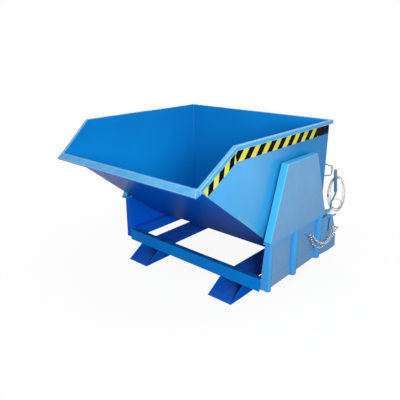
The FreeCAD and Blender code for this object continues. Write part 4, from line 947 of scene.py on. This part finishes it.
def chain_strand(node, x, count):
    """Row of links from the hook to the anchor, which stands for a strand of the solids."""
    reach = LINK_INSIDE_LENGTH / 2 - PEG_RADIUS - PEG_PLAY
    pitch = LINK_INSIDE_LENGTH - LINK_GAP
    length = (count - 1) * pitch + 2 * reach
    curve = hanging_curve(HOOK_PEG, ANCHOR_PEG, length)
    links = []
    for number in range(count):
        spot, tilt = curve(reach + number * pitch)
        turn = Matrix.Rotation(math.pi / 2, 4, "Z")
        if number % 2 == 0:
            turn = turn @ Matrix.Rotation(math.pi / 2, 4, "X")
        turn = Matrix.Rotation(tilt, 4, "X") @ turn
        select_only(link)
        bpy.ops.object.duplicate()
        piece = bpy.context.active_object
        piece.matrix_world = Matrix.Translation(spot + Vector((x, 0.0, 0.0))) @ turn
        links.append(piece)
    bpy.ops.object.select_all(action="DESELECT")
    for piece in links:
        piece.select_set(True)
    bpy.context.view_layer.objects.active = links[0]
    bpy.ops.object.join()
    apply_place()
    strand = bpy.context.active_object
    hand_over(strand, node + "_links", "base", chain_zinc)
    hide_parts(node)


for node, x, count in CHAIN_STRANDS:
    chain_strand(node, x, count)
select_only(link)
bpy.ops.object.delete()
print("links in place", sum(count for node, x, count in CHAIN_STRANDS))

# %% [markdown]
# ## The latch spring
#
# A small compression spring pushes the lever arm up and keeps the hook over its stud. It could be a spiral
# curve with a round bevel. Here a ring of points, set upright at the coil's radius, is wound up by the Screw
# modifier, because that needs no list of points. The spring flattens when the lever is pulled, but here it
# rides on the base.

# %% Winding of the spring
SPRING_WIRE = 0.002
SPRING_TURNS = 4
STEPS_PER_TURN = 28

spring_low, spring_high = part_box("latch_spring")
spring_axis = (spring_low + spring_high) / 2
spring_radius = (spring_high.x - spring_low.x - SPRING_WIRE) / 2
spring_rise = spring_high.z - spring_low.z - SPRING_WIRE

bpy.ops.object.select_all(action="DESELECT")
bpy.ops.mesh.primitive_circle_add(vertices=10, radius=SPRING_WIRE / 2, fill_type="NGON")
spring = bpy.context.active_object
open_mesh()
bpy.ops.transform.rotate(value=math.pi / 2, orient_axis="X", center_override=(0.0, 0.0, 0.0))
bpy.ops.transform.translate(value=(spring_radius, 0.0, 0.0))
bpy.ops.mesh.delete(type="ONLY_FACE")
close_mesh()
bpy.ops.object.modifier_add(type="SCREW")
winding = spring.modifiers[-1]
winding.axis = "Z"
winding.angle = 2 * math.pi
winding.iterations = SPRING_TURNS
winding.screw_offset = spring_rise / SPRING_TURNS
winding.steps = STEPS_PER_TURN
winding.render_steps = STEPS_PER_TURN
bpy.ops.object.modifier_apply(modifier=winding.name)
print("spring radius", round(spring_radius, 4))

# %% Ends and place of the spring
SPRING_ANGLE = math.radians(50)

# The two open ends of the wire are filled
bpy.ops.object.mode_set(mode="EDIT")
bpy.ops.mesh.select_all(action="DESELECT")
bpy.ops.mesh.select_mode(type="EDGE")
bpy.ops.mesh.select_non_manifold()
bpy.ops.mesh.fill()
bpy.ops.mesh.select_all(action="SELECT")
bpy.ops.mesh.normals_make_consistent(inside=False)
close_mesh()
bpy.ops.object.shade_smooth_by_angle(angle=SPRING_ANGLE)
spring.location = (spring_axis.x, spring_axis.y, spring_low.z + SPRING_WIRE / 2)
apply_place()
hand_over(spring, "latch_spring_wire", "base", pin_steel)
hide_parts("latch_spring")
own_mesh(spring)
print("spring height", round(spring_rise, 4))

# %% [markdown]
# ## The wire rope
#
# The release rope hangs in loose turns from a peg on the hand lever, with a small eye at its lower end. A
# bevelled curve would give a smooth tube. So the rope's line is one smooth spline, and six strands are then
# laid round a core along it in a long twist, as in real wire rope.

# %% Points of the rope
ROPE_X = 0.619
ROPE_TOP = 0.614
ROPE_FIRST_Y = 0.4683
ROPE_STEP = 0.0074
FIRST_TURN, LAST_TURN = 0.75, 4.5
EYE_RADIUS = 0.037
FERRULE_REACH = 0.0165
POINTS_PER_TURN = 16

# The spline cuts the corners between its points, so they lie further out by this share
SPLINE_PULL = 0.981

# Half width, drop and swing to the rear of each turn, in metres: loose turns differ in size and fan out
TURNS = [
    (0.053, 0.243, 0.0),
    (0.063, 0.247, -0.003),
    (0.047, 0.240, 0.003),
    (0.060, 0.256, -0.001),
    (0.052, 0.243, 0.004),
]


def turn_point(count):
    """Point of the coil after a number of steps, counted from its top, going round to the right."""
    turn = count / POINTS_PER_TURN
    half, drop, swing = TURNS[min(int(turn), len(TURNS) - 1)]
    angle = 2 * math.pi * turn
    reach = 1 / SPLINE_PULL
    low_share = (1 - math.cos(angle)) / 2
    return Vector((
        ROPE_X + reach * half * math.sin(angle),
        ROPE_FIRST_Y + ROPE_STEP * turn + swing * low_share,
        ROPE_TOP - drop / 2 + reach * drop / 2 * math.cos(angle),
    ))


first_count = int(FIRST_TURN * POINTS_PER_TURN)
last_count = int(LAST_TURN * POINTS_PER_TURN)
rope_points = [turn_point(first_count) - Vector((0.0, 0.0, FERRULE_REACH))]
rope_points += [turn_point(count) for count in range(first_count, last_count)]
last_drop, last_swing = TURNS[-1][1:]
eye_bottom = Vector((ROPE_X, ROPE_FIRST_Y + LAST_TURN * ROPE_STEP + last_swing, ROPE_TOP - last_drop))
for step in range(POINTS_PER_TURN + 1):
    angle = 2 * math.pi * step / POINTS_PER_TURN
    rope_points.append(eye_bottom + Vector((
        -EYE_RADIUS * math.sin(angle) / SPLINE_PULL,
        ROPE_STEP * step / POINTS_PER_TURN,
        EYE_RADIUS * (1 - math.cos(angle) / SPLINE_PULL),
    )))
rope_points.append(eye_bottom + Vector((-FERRULE_REACH, ROPE_STEP, 0.0)))
print("rope points", len(rope_points))

# %% Smooth line of the rope
line_data = bpy.data.curves.new("rope_line", "CURVE")
line_data.dimensions = "3D"
spline = line_data.splines.new("NURBS")
spline.points.add(len(rope_points) - 1)
for point, spot in zip(spline.points, rope_points):
    point.co = (*spot, 1.0)
spline.order_u = 3
spline.use_endpoint_u = True
spline.resolution_u = 10
rope_line = new_object("rope_line", line_data)
bpy.context.view_layer.update()
line_mesh = bpy.data.meshes.new_from_object(rope_line)
centre_line = [vertex.co.copy() for vertex in line_mesh.vertices]
bpy.data.objects.remove(rope_line)

# %% Directions along the rope
count = len(centre_line)
travelled = [0.0]
for a, b in zip(centre_line, centre_line[1:]):
    travelled.append(travelled[-1] + (b - a).length)
across = Vector((0.0, 1.0, 0.0))
cross_sections = []
for number, spot in enumerate(centre_line):
    ahead = centre_line[min(number + 1, count - 1)] - centre_line[max(number - 1, 0)]
    ahead.normalize()
    across = (across - ahead * across.dot(ahead)).normalized()
    cross_sections.append((spot, across.copy(), ahead.cross(across)))
print("cross sections of the rope", count)

# %% Strands of the rope
ROPE_DIAMETER = 0.0055
STRANDS = 6
STRAND_SIDES = 6
STRAND_SHARE = 0.19
LAY_LENGTH = 0.038

strand_radius = STRAND_SHARE * ROPE_DIAMETER
strand_circle = ROPE_DIAMETER / 2 - strand_radius
vertices = []
faces = []
for strand in range(STRANDS + 1):
    first = len(vertices)
    away = 0.0 if strand == STRANDS else strand_circle
    for number, (spot, side, up) in enumerate(cross_sections):
        turn = 2 * math.pi * (strand / STRANDS + travelled[number] / LAY_LENGTH)
        outward = side * math.cos(turn) + up * math.sin(turn)
        round_way = up * math.cos(turn) - side * math.sin(turn)
        middle = spot + outward * away
        for corner in range(STRAND_SIDES):
            angle = 2 * math.pi * corner / STRAND_SIDES
            radial = outward * math.cos(angle) + round_way * math.sin(angle)
            vertices.append(middle + radial * strand_radius)
    for number in range(count - 1):
        for corner in range(STRAND_SIDES):
            a = first + number * STRAND_SIDES + corner
            b = first + number * STRAND_SIDES + (corner + 1) % STRAND_SIDES
            faces.append((a, b, b + STRAND_SIDES, a + STRAND_SIDES))
    faces.append(tuple(first + corner for corner in reversed(range(STRAND_SIDES))))
    last = first + (count - 1) * STRAND_SIDES
    faces.append(tuple(last + corner for corner in range(STRAND_SIDES)))
rope_mesh = bpy.data.meshes.new("wire_rope")
rope_mesh.from_pydata(vertices, [], faces)
rope_mesh.update()
rope = new_object("wire_rope", rope_mesh)
bpy.ops.object.shade_smooth()
hand_over(rope, "wire_rope", "latch", rope_zinc)
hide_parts("rope_coil")
print("rope faces", len(faces))

# %% [markdown]
# ## The ferrules on the rope
#
# Each end of the rope is held by a pressed sleeve. Bump in the material could hint at the press marks, but
# they show in the outline. So a cylinder is cut across, and its ends and three waists are drawn in, as the
# jaws of a crimping tool leave them.

# %% Ferrules
FERRULE_LENGTH = 0.018
FERRULE_RADIUS = 0.005
FERRULE_ANGLE = math.radians(50)
PRESSED = 0.86

# Places along the sleeve, as shares of its length from the middle
CUTS = (-0.36, -0.24, -0.12, 0.0, 0.12, 0.24, 0.36)
WAISTS = (-0.24, 0.0, 0.24)
WAIST_REACH = 0.02
END_START = 0.45


def ferrule(name, start, direction):
    """Pressed sleeve from a start point along a direction."""
    bpy.ops.object.select_all(action="DESELECT")
    bpy.ops.mesh.primitive_cylinder_add(vertices=18, radius=FERRULE_RADIUS, depth=FERRULE_LENGTH)
    piece = bpy.context.active_object
    bpy.ops.object.mode_set(mode="EDIT")
    bpy.ops.mesh.select_mode(type="FACE")
    for share in CUTS:
        bpy.ops.mesh.select_all(action="SELECT")
        bpy.ops.mesh.bisect(plane_co=(0.0, 0.0, share * FERRULE_LENGTH), plane_no=(0.0, 0.0, 1.0))
    close_mesh()
    for vertex in piece.data.vertices:
        share = vertex.co.z / FERRULE_LENGTH
        waist = min(abs(share - spot) for spot in WAISTS) < WAIST_REACH
        if waist or abs(share) > END_START:
            vertex.co.x *= PRESSED
            vertex.co.y *= PRESSED
    bpy.ops.object.shade_smooth_by_angle(angle=FERRULE_ANGLE)
    turn = Vector(direction).to_track_quat("Z", "Y").to_matrix().to_4x4()
    middle = Vector(start) + Vector(direction).normalized() * (FERRULE_LENGTH / 2)
    piece.matrix_world = Matrix.Translation(middle) @ turn
    apply_place()
    return hand_over(piece, name, "latch", ferrule_dark)


first_ferrule = ferrule("rope_ferrule_start", rope_points[0], (0.0, 0.0, -1.0))
last_ferrule = ferrule("rope_ferrule_eye", rope_points[-1], (-1.0, 0.0, 0.0))
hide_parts("rope_ferrules")
print("ferrules", first_ferrule.name, last_ferrule.name)

# %% [markdown]
# ## The stage
#
# The photo shows the skip on plain white. A wide pale floor keeps the soft shadow near the skip and turns
# white further out, so that no horizon shows. In the gloss of the paint the floor is grey close to the skip
# and white further out, as the ground and the bright walls of a studio are.

# %% Floor
FLOOR_SIZE = 60.0
FLOOR_DROP = 0.0005
FLOOR_ROUGHNESS = 0.9
FLOOR_SPECULAR = 0.1
GROUND_GREY = (0.2, 0.2, 0.21, 1.0)
SEEN_GREY = (0.7, 0.7, 0.71, 1.0)
WHITE = (1.0, 1.0, 1.0, 1.0)

bpy.ops.object.select_all(action="DESELECT")
bpy.ops.mesh.primitive_plane_add(size=FLOOR_SIZE, location=(0.0, 0.0, -FLOOR_DROP))
floor = bpy.context.active_object
floor.name = "floor"
floor_white = bpy.data.materials.new("floor_white")
floor_white.use_nodes = True
tree = floor_white.node_tree
shader = tree.nodes["Principled BSDF"]
shader.inputs["Roughness"].default_value = FLOOR_ROUGHNESS
shader.inputs["Specular IOR Level"].default_value = FLOOR_SPECULAR
reach = tree.nodes.new("ShaderNodeVectorMath")
reach.operation = "LENGTH"
tree.links.new(tree.nodes.new("ShaderNodeTexCoord").outputs["Object"], reach.inputs[0])
far = span(tree, reach.outputs["Value"], (0.9, 2.6), (0.92, 1.0))
mirrored_far = span(tree, reach.outputs["Value"], (0.8, 2.5))
white = tree.nodes.new("ShaderNodeEmission")
white.inputs["Color"].default_value = WHITE
rays = tree.nodes.new("ShaderNodeLightPath")
ground = mixed(tree, rays.outputs["Is Camera Ray"], GROUND_GREY, SEEN_GREY)
tree.links.new(ground, shader.inputs["Base Color"])
seen = times(tree, rays.outputs["Is Camera Ray"], far)
reflected = times(tree, rays.outputs["Is Glossy Ray"], mirrored_far)
blend = tree.nodes.new("ShaderNodeMixShader")
tree.links.new(maths(tree, "MAXIMUM", seen, reflected), blend.inputs["Fac"])
tree.links.new(shader.outputs["BSDF"], blend.inputs[1])
tree.links.new(white.outputs["Emission"], blend.inputs[2])
tree.links.new(blend.outputs["Shader"], tree.nodes["Material Output"].inputs["Surface"])
floor.data.materials.append(floor_white)
print("floor", FLOOR_SIZE, "m wide")

# %% [markdown]
# ## The light
#
# A studio has broad, even light. It could come from many lamps. Here a white world gives most of it, a
# little dimmer on the paint than in reflections and behind the skip. A key lamp at the front right brightens
# the side, a wide lamp overhead lights the level faces, and a lamp at the rear left keeps the back from
# going dark.

# %% White world
WORLD_LIGHT = (0.76, 1.0)

world = bpy.data.worlds.new("studio")
bpy.context.scene.world = world
world.use_nodes = True
tree = world.node_tree
sky = tree.nodes["Background"]
sky.inputs["Color"].default_value = WHITE
rays = tree.nodes.new("ShaderNodeLightPath")
seen = maths(tree, "MAXIMUM", rays.outputs["Is Camera Ray"], rays.outputs["Is Glossy Ray"])
seen = maths(tree, "MAXIMUM", seen, rays.outputs["Is Transmission Ray"])
tree.links.new(span(tree, seen, (0.0, 1.0), WORLD_LIGHT), sky.inputs["Strength"])
bpy.context.scene.view_settings.view_transform = "Standard"
print("world", world.name, "with strengths", WORLD_LIGHT)


# %% Lamps
def soft_light(name, location, target, size, power):
    """Square lamp that looks at a point."""
    bpy.ops.object.light_add(type="AREA", location=location)
    lamp = bpy.context.active_object
    lamp.name = name
    lamp.data.size = size
    lamp.data.energy = power
    aim = Vector(target) - Vector(location)
    lamp.rotation_euler = aim.to_track_quat("-Z", "Y").to_euler()


soft_light("key_light", location=(2.8, -2.5, 1.65), target=(0.6, 0.0, 0.55), size=0.9, power=130.0)
soft_light("top_light", location=(1.0, -1.6, 4.4), target=(0.0, 0.0, 0.4), size=2.4, power=15.0)
soft_light("rear_light", location=(-2.6, 2.6, 2.4), target=(0.0, 0.2, 0.5), size=1.6, power=40.0)
print("lamps", len(bpy.data.lights))
